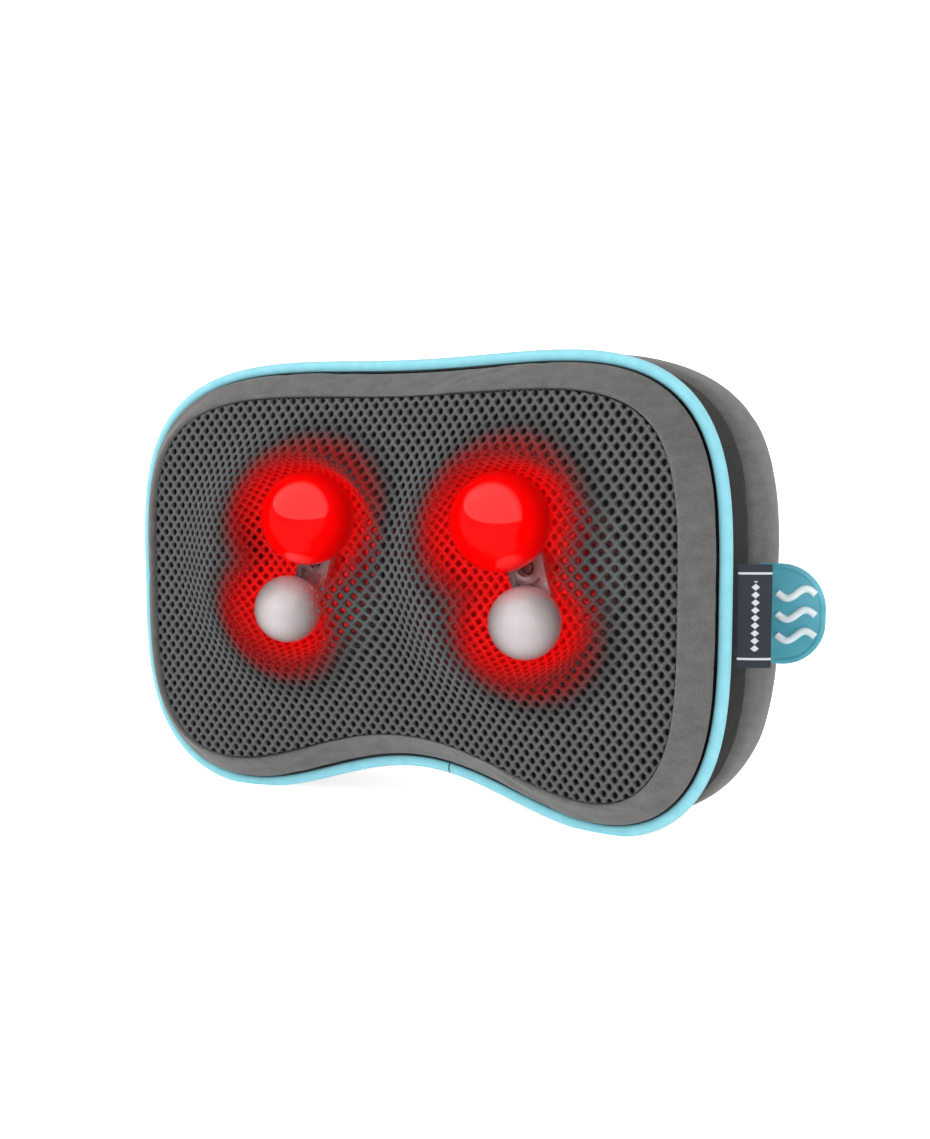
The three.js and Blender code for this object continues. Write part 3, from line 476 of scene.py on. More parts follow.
class Look:
    """A node material on the Principled shader, and short ways to wire it."""

    def __init__(self, name, **constants):
        self.material = bpy.data.materials.new(name)
        self.material.use_nodes = True
        self.tree = self.material.node_tree
        self.shader = next(n for n in self.tree.nodes if n.type == "BSDF_PRINCIPLED")
        for socket, value in constants.items():
            self.shader.inputs[socket.replace("_", " ")].default_value = value

    def put(self, socket, value):
        if isinstance(value, bpy.types.NodeSocket):
            self.tree.links.new(value, socket)
        else:
            socket.default_value = value

    def node(self, kind, *inputs, **settings):
        """A new node, with values or links for its first inputs in order."""
        node = set_up(self.tree.nodes.new(kind), **settings)
        for socket, value in zip(node.inputs, inputs):
            self.put(socket, value)
        return node

    def sets(self, socket, value):
        self.put(self.shader.inputs[socket], value)

    def math(self, operation, a, b=0.0, third=0.0):
        return self.node("ShaderNodeMath", a, b, third, operation=operation).outputs[0]

    def place(self):
        return self.node("ShaderNodeTexCoord").outputs["Object"]

    def cloth(self):
        return self.node("ShaderNodeUVMap", uv_map="cloth").outputs["UV"]

    def times(self, a, b):
        return self.math("MULTIPLY", a, b)

    def plus(self, a, b):
        return self.math("ADD", a, b)

    def minus(self, a, b):
        return self.math("SUBTRACT", a, b)

    def size(self, a):
        return self.math("ABSOLUTE", a)

    def vector(self, operation, a, b):
        node = self.node("ShaderNodeVectorMath", a, b, operation=operation)
        return node.outputs["Value" if operation in ("DOT_PRODUCT", "DISTANCE") else "Vector"]

    def stretched(self, vector, scale):
        return self.vector("MULTIPLY", vector, scale)

    def parts(self, vector):
        return self.node("ShaderNodeSeparateXYZ", vector).outputs

    def noise(self, scale, detail=3.0, vector=None):
        """Soft noise of 0 to 1, with scale in patches to the metre."""
        node = self.node("ShaderNodeTexNoise", vector or self.place())
        node.inputs["Scale"].default_value = scale
        node.inputs["Detail"].default_value = detail
        return node.outputs[0]

    def between(self, value, low, high, to_low=0.0, to_high=1.0):
        """Value, eased from low..high to to_low..to_high."""
        limits = (low, high, to_low, to_high)
        return self.node("ShaderNodeMapRange", value, *limits, interpolation_type="SMOOTHSTEP").outputs[0]

    def mix(self, share, a, b):
        node = self.node("ShaderNodeMix", share, data_type="RGBA")
        self.put(node.inputs[6], (*a, 1.0) if isinstance(a, tuple) else a)
        self.put(node.inputs[7], (*b, 1.0) if isinstance(b, tuple) else b)
        return node.outputs[2]

    def colour(self, share, dark, pale):
        """Sets the surface's colour: dark where share is 0, and pale where it is 1."""
        self.sets("Base Color", self.mix(share, dark, pale))

    def wave(self, value, pitch):
        """A sine of 0 to 1 that repeats every pitch of value."""
        swing = self.math("SINE", self.times(value, 2 * math.pi / pitch))
        return self.plus(self.times(swing, 0.5), 0.5)

    def bump(self, height, depth, strength=1.0):
        """Raises the surface by up to depth metres where height is 1."""
        node = self.node("ShaderNodeBump")
        node.inputs["Strength"].default_value = strength
        node.inputs["Distance"].default_value = depth
        self.put(node.inputs["Height"], height)
        self.sets("Normal", node.outputs[0])

    def head_gap(self, heads, lead):
        """How far a point lies outside the balls of the nearer head, seen along its axis, with
        the pattern moved by lead along X. It is measured in each head's own coordinates, so
        what depends on it turns with the head."""
        still = self.stretched(self.place(), (1.0, 0.0, 1.0))
        nearest = None
        for side, sign in SIDES:
            axis = (sign * ROTOR.x, 0.0, ROTOR.z)
            own = self.node("ShaderNodeTexCoord", object=heads[side]).outputs["Object"]
            spoke = self.vector("SUBTRACT", still, axis)
            turned_spoke = self.vector("SUBTRACT", self.stretched(own, (1.0, 0.0, 1.0)), axis)
            # The cosine and sine of the head's turn, from the same spoke before and after it.
            square = self.vector("DOT_PRODUCT", spoke, spoke)
            cosine = self.math("DIVIDE", self.vector("DOT_PRODUCT", turned_spoke, spoke), square)
            crossed = self.parts(self.vector("CROSS_PRODUCT", turned_spoke, spoke))[1]
            sine = self.math("DIVIDE", crossed, square)
            step = self.node("ShaderNodeCombineXYZ", self.times(cosine, lead), 0.0, self.times(sine, lead))
            moved = self.vector("SUBTRACT", turned_spoke, step.outputs[0])
            for kind, radius in BALL_RADIUS.items():
                centre = joint_place(f"{side}_{kind}_ball_spin")
                away = self.vector("DISTANCE", moved, (centre.x - axis[0], 0.0, centre.z - axis[2]))
                gap = self.minus(away, radius)
                nearest = gap if nearest is None else self.math("SMOOTH_MIN", nearest, gap, third=HEAD_BLEND)
        return nearest

    def glows(self, share, red):
        """Red light from the surface itself, as strong as red where share is 1."""
        self.shader.inputs["Emission Strength"].default_value = 1.0
        self.sets("Emission Color", self.mix(share, (0.0, 0.0, 0.0), (red, 0.0, 0.0)))

    def painted_head_glow(self, heads, grain, red):
        """A painted red glow that stands in for the heads' light on what lies behind them, strongest where grain
        is 1.
        """
        near = self.between(self.head_gap(heads, -GLOW_LEAD), 0.004, 0.030, 1.0, 0.0)
        self.glows(self.times(near, self.between(grain, 0.1, 1.0, 0.6, 1.0)), red)


def suede_look(name, dark, pale):
    """Brushed micro-suede: a short nap with soft lighter and darker strokes."""
    look = Look(name, Roughness=0.92, Sheen_Weight=0.18, Sheen_Roughness=0.45, Specular_IOR_Level=0.15)
    strokes = look.noise(130.0, 5.0, look.stretched(look.place(), (1.0, 0.6, 1.7)))
    nap = look.noise(1500.0, 2.0)
    shade = look.plus(look.times(strokes, 0.45), look.times(nap, 0.55))
    look.colour(look.between(shade, 0.28, 0.74), dark, pale)
    height = look.plus(look.times(nap, 0.6), look.noise(420.0, 3.0))
    look.bump(height, 0.00035, 0.5)
    return look.material


def knit_look():
    """Dark gusset knit: fine ribs across the band, crossed by a slacker weft."""
    look = Look("gusset_knit", Roughness=0.9, Sheen_Weight=0.04, Specular_IOR_Level=0.2)
    u, v, _ = look.parts(look.cloth())
    ribs = look.wave(u, 0.0010)
    weft = look.wave(v, 0.0008)
    weave = look.times(ribs, look.plus(look.times(weft, 0.6), 0.4))
    fleck = look.noise(1900.0, 2.0)
    tone = look.plus(look.times(weave, 0.7), look.times(fleck, 0.3))
    look.colour(tone, (0.008, 0.008, 0.0075), (0.034, 0.033, 0.031))
    look.bump(weave, 0.0003, 0.6)
    return look.material


def net_look(heads):
    """Charcoal spacer yarn. It turns sheer over each head, and has a painted red glow round it."""
    look, tone = yarn_look("spacer_net")
    gap = look.head_gap(heads, GLOW_LEAD)
    plain = look.mix(tone, (0.007, 0.008, 0.009), (0.122, 0.127, 0.129))
    # Painted glow: near the heads the yarn is turned dark red and given a red emission, standing in for the heads'
    # red light on it.
    shade = look.between(gap, 0.008, 0.034, 1.0, 0.0)
    look.colour(shade, plain, (0.010, 0.0, 0.0))
    halo = look.between(gap, 0.0, 0.024, 1.0, 0.0)
    look.glows(look.times(halo, look.between(tone, 0.0, 1.0, 0.25, 1.0)), 0.80)
    look.sets("Alpha", look.between(gap, 0.003, 0.017, 0.02, 1.0))
    return look.material


def liner_look(heads):
    """The same yarn behind the heads, with a painted red glow close to them."""
    look, tone = yarn_look("liner_net")
    gap = look.head_gap(heads, -GLOW_LEAD)
    look.colour(tone, (0.004, 0.002, 0.002), (0.060, 0.045, 0.046))
    x, _, z = look.parts(look.place())
    across = look.minus(look.size(x), ROTOR.x)
    up = look.minus(z, ROTOR.z)
    square = look.plus(look.times(across, across), look.times(up, up))
    rim = look.between(square, (FLARE - 0.020) ** 2, (FLARE - 0.004) ** 2, 1.0, 0.02)
    glow = look.times(rim, look.between(gap, 0.006, 0.030, 1.0, 0.02))
    look.glows(look.times(glow, look.between(tone, 0.0, 1.0, 0.40, 1.0)), 0.95)
    return look.material


def yarn_look(name):
    """What both knitted meshes share, and how bright the yarn is at a point."""
    look = Look(name, Roughness=0.62, Sheen_Weight=0.05, Specular_IOR_Level=0.2)
    crest = look.node("ShaderNodeAttribute", attribute_name="crest").outputs["Fac"]
    yarn = look.noise(1500.0, 3.0, look.stretched(look.place(), (2.2, 1.0, 0.8)))
    # Painted light: the glints and the paler crests are painted highlights, and the yarn fading to near black down
    # the walls of the holes is painted shade.
    glint = look.between(look.noise(2300.0, 1.0), 0.58, 0.72)
    thread = look.between(crest, 0.62, 0.97, 0.78, 1.04)
    body = look.times(thread, look.plus(look.times(yarn, 0.9), 0.3))
    tone = look.times(crest, look.plus(body, look.times(glint, 0.9)))
    look.bump(yarn, 0.00025, 0.7)
    return look, tone


def lining_look(heads):
    """The spacer's dark back face, with a painted red glow near the heads."""
    look = Look("spacer_back", Roughness=0.9)
    grain = look.noise(900.0, 2.0)
    look.colour(grain, (0.003, 0.003, 0.004), (0.014, 0.014, 0.016))
    halo = look.between(look.head_gap(heads, GLOW_LEAD), 0.002, 0.020, 1.0, 0.0)
    look.glows(look.times(halo, look.plus(look.times(grain, 0.5), 0.5)), 0.08)
    look.bump(grain, 0.0003, 0.6)
    return look.material


def piping_look():
    """Satin-covered piping with a fine helical weave, a butt joint under the neck, and painted shade along its
    inner side.
    """
    look = Look("cyan_piping", Roughness=0.42, Coat_Weight=0.15, Coat_Roughness=0.3, Sheen_Weight=0.2)
    u, v, _ = look.parts(look.cloth())
    twill = look.wave(look.plus(u, look.times(v, 0.8)), 0.0009)
    mottle = look.noise(160.0, 3.0)
    tone = look.plus(look.times(twill, 0.25), look.times(mottle, 0.75))
    satin = look.mix(look.between(tone, 0.25, 0.8), (0.19, 0.52, 0.61), (0.24, 0.60, 0.69))
    x, _, z = look.parts(look.place())
    offset = look.size(look.minus(x, 0.0185))
    cut = look.times(look.between(offset, 0.0002, 0.0006, 1.0, 0.0), look.math("LESS_THAN", z, 0.0))
    # Painted shade: a dark stripe along the cord's inner side stands in for the shade in the crease where it meets
    # the border.
    seam = look.between(look.math("PINGPONG", v, math.pi * PIPING_RADIUS), 0.0016, 0.0028, 1.0, 0.0)
    look.colour(look.math("MAXIMUM", cut, seam), satin, (0.006, 0.040, 0.055))
    look.bump(look.minus(look.times(twill, 0.25), cut), 0.00025, 0.6)
    return look.material


def woven_look(name, dark, pale, pitch):
    """Plain woven tape."""
    look = Look(name, Roughness=0.7, Sheen_Weight=0.4)
    u, v, _ = look.parts(look.cloth())
    over = look.times(look.wave(u, pitch), look.wave(v, pitch))
    fleck = look.noise(2200.0, 1.0)
    tone = look.plus(look.times(over, 0.7), look.times(fleck, 0.4))
    look.colour(look.between(tone, 0.1, 0.9), dark, pale)
    look.bump(over, pitch / 4, 0.7)
    return look.material


def foam_look(heads):
    """Open-cell foam, with a painted red glow where the heads would shine on it."""
    look = Look("open_foam", Roughness=1.0)
    cells = look.node("ShaderNodeTexVoronoi", look.place())
    cells.inputs["Scale"].default_value = 900.0
    wide = look.noise(50.0, 3.0)
    tone = look.plus(look.times(cells.outputs[0], 0.8), look.times(wide, 0.4))
    pore = look.between(tone, 0.1, 1.0)
    look.colour(pore, (0.030, 0.029, 0.030), (0.010, 0.010, 0.011))
    look.painted_head_glow(heads, tone, 0.45)
    look.bump(cells.outputs[0], 0.0005, 0.7)
    return look.material


def heated_look():
    """Clear red plastic, lit from inside, with a painted darker rim."""
    look = Look("lit_red", Roughness=0.28, Coat_Weight=1.0, Coat_Roughness=0.05, Specular_IOR_Level=0.05)
    cloud = look.noise(45.0, 2.0)
    look.colour(cloud, (0.28, 0.0, 0.0), (0.36, 0.0, 0.0))
    _, y, _ = look.parts(look.place())
    middle = joint_place("right_heated_ball_spin").y
    # Painted shade: the glow is made weaker towards the ball's back, so that its rim reads darker.
    depth = look.between(y, middle - 0.020, middle + 0.010, 1.0, 0.30)
    look.glows(look.times(depth, look.between(cloud, 0.0, 1.0, 0.9, 1.0)), 0.95)
    return look.material


def pearl_look():
    """Pearl plastic with a faint cloudiness and a faint painted glow."""
    look = Look("pearl", Roughness=0.3, Coat_Weight=0.8, Coat_Roughness=0.08, Emission_Strength=1.0)
    cloud = look.noise(60.0, 3.0)
    look.colour(cloud, (0.47, 0.445, 0.45), (0.54, 0.515, 0.515))
    # Painted glow: the pearl ball is no lamp, but is given a faint white emission.
    look.sets("Emission Color", look.mix(cloud, (0.03, 0.026, 0.026), (0.04, 0.035, 0.035)))
    look.bump(look.noise(500.0, 2.0), 0.00005, 0.3)
    return look.material


def metal_look(name, colour, roughness, grain=(1.0, 1.0, 1.0), metallic=1.0):
    """Metal with fine tool marks and a little tarnish."""
    look = Look(name, Metallic=metallic)
    marks = look.noise(1200.0, 3.0, look.stretched(look.place(), grain))
    stain = look.noise(60.0, 4.0)
    darker = tuple(0.72 * c for c in colour)
    look.colour(look.between(stain, 0.3, 0.7), darker, colour)
    look.sets("Roughness", look.between(marks, 0.2, 0.8, roughness * 0.75, roughness * 1.3))
    look.bump(marks, 0.00006, 0.5)
    return look.material


def plastic_look(name, colour, roughness, texture=900.0, depth=0.00012, heads=None):
    """Moulded plastic with a spark-eroded texture and slight wear. A painted red glow from the heads may be put on
    it.
    """
    look = Look(name)
    grain = look.noise(texture, 2.0)
    wear = look.noise(45.0, 4.0)
    paler = tuple(min(1.0, 1.25 * c + 0.004) for c in colour)
    look.colour(look.between(wear, 0.35, 0.75), colour, paler)
    look.sets("Roughness", look.between(wear, 0.3, 0.7, roughness * 0.85, min(1.0, roughness * 1.15)))
    look.bump(grain, depth, 0.4)
    if heads:
        look.painted_head_glow(heads, wear, 0.32)
    return look.material


def board_look():
    """Green circuit board with copper tracks under the resist."""
    look = Look("circuit_board", Roughness=0.35)
    x, _, z = look.parts(look.place())
    bend = look.times(look.noise(160.0, 0.0), 0.012)
    tracks = look.between(look.wave(look.plus(look.plus(x, z), bend), 0.0024), 0.55, 0.7)
    look.colour(tracks, (0.008, 0.085, 0.035), (0.03, 0.19, 0.075))
    look.bump(tracks, 0.00004, 0.6)
    return look.material


def lamp_look():
    look = Look("indicator_lamp", Roughness=0.12, Coat_Weight=1.0, Emission_Strength=0.6)
    ribs = look.noise(1400.0, 1.0)
    look.colour(ribs, (0.5, 0.01, 0.01), (0.7, 0.03, 0.03))
    look.sets("Emission Color", look.mix(ribs, (0.35, 0.0, 0.0), (0.7, 0.02, 0.01)))
    return look.material


def label_look():
    """Dark woven satin label with a plain woven stripe near each end and a row of diamonds."""
    look = Look("woven_label", Roughness=0.6, Sheen_Weight=0.08)
    u, v, _ = look.parts(look.cloth())
    over = look.times(look.wave(u, 0.00055), look.wave(v, 0.00055))
    rib = look.wave(look.plus(u, v), 0.0008)
    tone = look.plus(look.times(over, 0.5), look.times(rib, 0.4))
    ground = look.mix(tone, (0.010, 0.014, 0.024), (0.030, 0.038, 0.058))
    across = look.math("PINGPONG", v, LABEL_WIDTH)
    middle = look.size(look.minus(across, LABEL_WIDTH / 2))
    step = look.size(look.minus(look.math("PINGPONG", u, DIAMOND_PITCH / 2), DIAMOND_PITCH / 4))
    diamond = look.between(look.plus(look.times(step, 1.2), middle), 0.0017, 0.0021, 1.0, 0.0)
    from_middle = look.size(look.minus(u, LABEL_HEIGHT / 2))
    row = look.times(diamond, look.math("LESS_THAN", from_middle, LABEL_HEIGHT / 2 - 0.0075))
    from_stripe = look.size(look.minus(from_middle, LABEL_HEIGHT / 2 - 0.004))
    stripe = look.between(from_stripe, 0.0004, 0.0006, 1.0, 0.0)
    pale = look.math("MAXIMUM", row, stripe)
    look.colour(pale, ground, (0.52, 0.55, 0.58))
    look.bump(look.plus(tone, look.times(pale, 0.6)), 0.00015, 0.7)
    return look.material


def floor_look():
    look = Look("pale_floor", Roughness=0.9, Emission_Strength=0.8, Emission_Color=(1.0, 1.0, 1.0, 1.0))
    look.colour(look.noise(8.0, 2.0), (0.87, 0.87, 0.87), (0.89, 0.89, 0.89))
    return look.material


def gel_look(name, dark, pale, alpha):
    """Soft clear elastomer with faint flow lines."""
    look = Look(
        name,
        Roughness=0.3,
        Coat_Weight=0.5,
        Coat_Roughness=0.15,
        Alpha=alpha,
        Subsurface_Weight=0.35,
        Subsurface_Radius=(0.002, 0.004, 0.005),
        Subsurface_Scale=0.6,
    )
    flow = look.noise(70.0, 3.0, look.stretched(look.place(), (0.4, 1.0, 1.4)))
    look.colour(look.between(flow, 0.3, 0.7), dark, pale)
    look.bump(look.noise(700.0, 2.0), 0.00006, 0.4)
    return look.material


# ---- soft cover


def net_piece(name, keep, lift, look):
    """Knitted mesh: a staggered field of oval holes in rounded strands. keep says which
    cells of the flat cloth are made, and lift bends its points (x, z) into the real shape."""
    half = NET_PITCH / 2
    peak = (half**2 + NET_ROW**2) / (2 * NET_ROW)
    flank = NET_ROW - peak
    right = [(0, peak), (half, flank), (half, -flank)]
    corners = np.array([*right, *[(-x, -z) for x, z in right]])
    between = (corners + np.roll(corners, -1, axis=0)) / 2
    cell = np.stack([corners, between], axis=1).reshape(-1, 2)
    bearing = np.arctan2(cell[:, 0], cell[:, 1])
    oval = joined(HOLE[0] * np.sin(bearing), HOLE[1] * np.cos(bearing))
    sides = len(cell)

    up, across = math.ceil(HALF_HEIGHT / NET_ROW), math.ceil(HALF_WIDTH / NET_PITCH)
    row, column = np.meshgrid(np.arange(-up, up + 1), np.arange(-across, across + 1))
    centres = joined((column + 0.5 * (row % 2)) * NET_PITCH, row * NET_ROW).reshape(-1, 2)
    centres = centres[keep(centres[:, 0], centres[:, 1])]

    # Each ring of a cell: its points, how deep it lies, and how near the strand's crest it is.
    rings = ((cell, 0.0, 1.0), (oval, 0.00045, 0.55), (oval * 0.9, 0.0019, 0.0))
    flat = np.concatenate([centres[:, None] + shape for shape, _, _ in rings]).reshape(-1, 2)
    depth = np.repeat([d for _, d, _ in rings], len(centres) * sides)
    crest = np.repeat([c for _, _, c in rings], len(centres) * sides)

    start = np.arange(len(centres))[:, None] * sides
    here = start + np.arange(sides)
    there = start + (np.arange(sides) + 1) % sides
    step = len(centres) * sides
    faces = [
        joined(here + k * step, here + (k + 1) * step, there + (k + 1) * step, there + k * step)
        for k in (0, 1)
    ]
    piece = piece_of(name, lift(flat[:, 0], flat[:, 1], depth), np.concatenate(faces).reshape(-1, 4), look)
    piece.data.attributes.new("crest", "FLOAT", "POINT").data.foreach_set("value", crest)
    merged(piece.data, 2e-5)
    piece.data.shade_smooth()
    return piece


def front_net(look):
    """The mesh over the whole front, drawn in to its sewn edge."""

    def lift(x, z, depth):
        drawn = np.maximum(share_of(MESH_LOOP, x, z), 1)
        x, z = x / drawn, z / drawn
        return joined(x, mesh_y(x, z) + depth, z)

    piece = net_piece("front_mesh", lambda x, z: share_of(MESH_LOOP, x, z) < 1.02, lift, look)
    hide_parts("front_mesh_panel")
    return piece


LINER_SET_BACK = 0.0028  # of the liner behind the mesh's face, where the two meet
BACKING_SET_BACK = 0.0026  # of the spacer's back face behind the mesh's face
HUB_CLEARANCE = 0.0105  # from the arm's axis to the edge of the liner's hole


def pocket_net(side_name, side, look):
    """The same mesh as a loose liner behind a head, gathered as it comes up the wall."""
    section = smooth_line(LINER, 80)
    run = run_of(section)

    def lift(x, z, depth):
        out = np.minimum(np.hypot(x, z), run[-1])
        bearing = np.arctan2(x, z)
        radius = np.interp(out, run, section[:, 0])
        y = np.interp(out, run, section[:, 1])
        slope = np.interp(out, run, np.gradient(section[:, 1], run))
        radius = radius + depth * np.abs(slope)
        y = y + depth * np.sqrt(np.maximum(1 - slope**2, 0))
        x = side * ROTOR.x + radius * np.sin(bearing)
        z = ROTOR.z + radius * np.cos(bearing)
        return joined(x, np.maximum(y, mesh_y(x, z) + LINER_SET_BACK), z)

    def keep(x, z):
        out = np.hypot(x, z)
        return (out > HUB_CLEARANCE + NET_ROW / 2) & (out < run[-1] + NET_ROW / 2)

    return net_piece(f"pocket_liner_{side_name}", keep, lift, look)


def at_y(line, y):
    """A line of points (x, z), stood at y."""
    return np.insert(line, 1, y, axis=1)


def circle(x, z, radius, count=72):
    angle = 2 * np.pi * np.arange(count) / count
    return joined(x + radius * np.sin(angle), z + radius * np.cos(angle))


def pocket_hem(side_name, side, look):
    """The liner's corded hem round the arm's hub."""
    loop = at_y(circle(side * ROTOR.x, ROTOR.z, HUB_CLEARANCE + 0.0004), LINER[0][1])
    hem = tube(f"pocket_hem_{side_name}", loop, radius=0.0013, look=look, closed=True)
    return hem


def mesh_backing(look):
    """The spacer's back face, open over the two heads."""
    openings = [circle(side * ROTOR.x, ROTOR.z, min(FLARE, ROTOR.x - 0.001)) for _, side in SIDES]
    edge = inset_loop(MESH_INSET + 0.0004, 144)

    def lift(x, z):
        return mesh_y(x, z) + BACKING_SET_BACK

    piece = flat_piece("mesh_backing", [edge], openings, 0.005, lift, look)
    return piece


def seams(rows, wide):
    """The vertices of a ring grid's first and last rows, wide rows at each edge."""
    edge = [*range(wide), *range(rows - wide, rows)]
    return [station * rows + row for station in range(AROUND) for row in edge]


def cover_panels(suede, knit):
    """The sewn panels round the outline, from the mesh's edge to the back."""
    front = PIPING_Y
    border = [
        (0.0171, front - 0.0152, 1),
        (0.0168, front - 0.0178, 1),
        (0.0160, front - 0.0186, 1),
        (0.0132, front - 0.0157, 1),
        (0.0104, front - 0.0125, 1),
        (0.0074, front - 0.0092, 1),
        (0.0048, front - 0.0062, 1),
        (0.0037, front - 0.0042, 1),
        (0.0039, front - 0.0024, 1),
        (0.0046, front - 0.0008, 1),
    ]
    gusset = [
        (0.0040, front + 0.0018, 1),
        (0.0016, front + 0.0044, 0.98),
        (0.0006, -0.0710, 0.55),
        (0.0004, -0.0640, 0.20),
        (0.0010, -0.0584, 0),
        (0.0034, -0.0577, 0),
    ]
    boxing = [
        (0.0036, -0.0565, 0),
        (0.0010, -0.0556, 0),
        (-0.0012, -0.0500, 0),
        (-0.0022, -0.0400, 0),
        (-0.0022, -0.0290, 0),
        (-0.0002, -0.0165, 0),
        (0.0050, -0.0068, 0),
        (0.0115, -0.0020, 0),
        (0.0162, -0.0005, 0),
        (0.0176, -0.0018, 0),
    ]
    panels = []
    for name, node, section, rows, look, slot, wide, stuffing in (
        ("border_panel", "front_border", border, 15, suede, "suede", 2, (3.0, 0.012, 0.0008)),
        ("gusset_panel", "side_gusset", gusset, 11, knit, "gusset_fabric", 1, (2.0, 0.010, 0.0008)),
        ("boxing_panel", "boxing_band", boxing, 23, suede, "suede", 2, (5.0, 0.012, 0.0030)),
    ):
        piece = grid_piece(name, swept(smooth_line(section, rows)), look, closed=True)
        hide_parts(node)
        panels.append((piece, seams(rows, wide), *stuffing))
    stuff_panels(panels)
    pieces = [panel[0] for panel in panels]
    for piece in pieces:
        softened(piece)
    return pieces


def piping_cord(look):
    """The corded edge, swept round the outline."""
    turns = np.linspace(0, 2 * np.pi, 15)
    section = [(PIPING_RADIUS * math.cos(a), PIPING_Y + PIPING_RADIUS * math.sin(a), 1) for a in turns]
    piece = grid_piece("piping_cord", swept(section), look, closed=True)
    merged(piece.data, 1e-6)
    softened(piece)
    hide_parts("piping")
    return piece


ZIP_LOW, ZIP_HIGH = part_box("zip_tape")
ZIP_Z = (ZIP_LOW.z + ZIP_HIGH.z) / 2
COIL_PITCH = 0.0014
COIL_END = 0.003  # from the end of the tape to the first tooth
COIL_WIRE = 0.00028
ZIP_MARGIN = 0.0003  # from the tape to the edge of the back panel's opening
ZIP_SEAM = 0.003  # from the tape to the stitches round it


def zip_outline(margin, spacing):
    """A rectangle round the zip's tape, as evenly spaced points (x, z)."""
    left, right = ZIP_LOW.x - margin, ZIP_HIGH.x + margin
    bottom, top = ZIP_LOW.z - margin, ZIP_HIGH.z + margin
    corners = [(left, bottom), (right, bottom), (right, top), (left, top)]
    points = []
    for start, end in zip(corners, corners[1:] + corners[:1]):
        count = max(1, round(math.dist(start, end) / spacing))
        points += [np.array(start) + (np.array(end) - np.array(start)) * i / count for i in range(count)]
    return np.array(points)


def back_panel(suede, thread):
    """The flat back, turned in at its edge and open for the zip, with its two stitch rows."""
    edge, turn, level = (inset_loop(inset, 180) for inset in (0.0179, 0.0190, 0.0215))
    slot = zip_outline(ZIP_MARGIN, 0.004)

    def lift(x, z):
        margin = (1 - share_of(edge, x, z)) * np.hypot(x, z)
        puckered = 0.00012 * np.sin(x / 0.0041) * np.sin(z / 0.0053)
        return -0.0016 * (1 - smoothstep(margin, 0, 0.0028)) + puckered - 0.0002

    piece = flat_piece("back_panel", [edge, turn, level], [slot], 0.005, lift, suede, backwards=True)
    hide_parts("rear_panel")
    hem = inset_loop(0.0245, 400)
    around = zip_outline(ZIP_SEAM, 0.002)
    rows = (("hem_stitches", hem), ("zip_stitches", around))
    return [piece, *[stitches(name, at_y(loop, -0.0001), thread) for name, loop in rows]]


def zip_fastener(tape_look, coil_look):
    """The woven tape, and the two coils of teeth that mesh along its middle."""
    x = np.linspace(ZIP_LOW.x, ZIP_HIGH.x, 60)
    half = (ZIP_HIGH.z - ZIP_LOW.z) / 2
    across, xs = np.meshgrid(np.linspace(-half, half, 15), x)
    y = -0.0012 + 0.0002 * np.abs(across) / half + 0.00005 * np.sin(xs / 0.003)
    tape = grid_piece("zip_tape_cloth", joined(xs, y, ZIP_Z + across), tape_look)
    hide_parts("zip_tape")
    coils = []
    turns = int((ZIP_HIGH.x - ZIP_LOW.x - 2 * COIL_END) / COIL_PITCH)
    t = np.arange(turns * 8) / 8
    a = 2 * np.pi * t
    for name, side in (("zip_coil_lower", -1), ("zip_coil_upper", 1)):
        x = ZIP_LOW.x + COIL_END + COIL_PITCH * (t + 0.25 * side)
        y = -0.0002 + 0.00055 * np.sin(a)
        z = ZIP_Z + side * (0.0009 - 0.00105 * np.cos(a))
        coils.append(tube(name, joined(x, y, z), COIL_WIRE, coil_look, sides=1))
    return [tape, *coils]


LABEL_HEIGHT = 0.047
LABEL_WIDTH = 0.0155
DIAMOND_PITCH = 0.007
LABEL_SWEEP = math.radians(25)


def woven_label(look):
    """A loop label: one strip of woven tape, folded double and sewn in behind the piping."""
    low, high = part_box("side_label")
    seam = 0.0006
    foot = (low.x + 0.0005, high.y - LABEL_WIDTH * math.sin(LABEL_SWEEP) - seam, (low.z + high.z) / 2)
    # The strip runs out along the far side, round the fold and back along the near side.
    length = LABEL_WIDTH - seam
    run = length * np.linspace(0, 1, 15)
    fold = np.linspace(-np.pi / 2, np.pi / 2, 7)[1:-1]
    gap = 0.00035
    side = np.full(len(run), gap)
    out = np.array([*run, *(length + gap * np.cos(fold)), *run[::-1]])
    off = np.array([*-side, *(gap * np.sin(fold)), *side])
    height = LABEL_HEIGHT * np.linspace(-0.5, 0.5, 33)[:, None]
    bow = 0.0006 * np.sin(np.pi * np.clip(out / length, 0, 1))
    curl = 0.0003 * np.sin(2 * np.pi * height / LABEL_HEIGHT)
    off = off + bow + curl
    x = foot[0] + math.cos(LABEL_SWEEP) * out + math.sin(LABEL_SWEEP) * off
    y = foot[1] + math.sin(LABEL_SWEEP) * out - math.cos(LABEL_SWEEP) * off
    z = foot[2] + np.repeat(height, len(out), axis=1)
    piece = grid_piece("woven_label", joined(x, y, z), look)
    softened(piece)
    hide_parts("side_label")
    return piece


TAB_LOW, TAB_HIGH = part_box("pull_tab")
TAB_MIDDLE = (TAB_LOW + TAB_HIGH) / 2
TAB_CORNER = 0.021


def rounded_tab(inset, steps=14):
    """The tab's outline (x, z), drawn in by inset: straight at the seam, round outside."""
    corner = TAB_CORNER - inset
    left, right = TAB_LOW.x + 0.0006 + inset, TAB_HIGH.x - inset
    bottom, top = TAB_LOW.z + inset, TAB_HIGH.z - inset
    points = [(left, bottom)]
    for middle_z, start in ((bottom + corner, -90), (top - corner, 0)):
        for step in range(steps + 1):
            a = math.radians(start + 90 * step / steps)
            points.append((right - corner + corner * math.cos(a), middle_z + corner * math.sin(a)))
    points.append((left, top))
    return np.array(points)


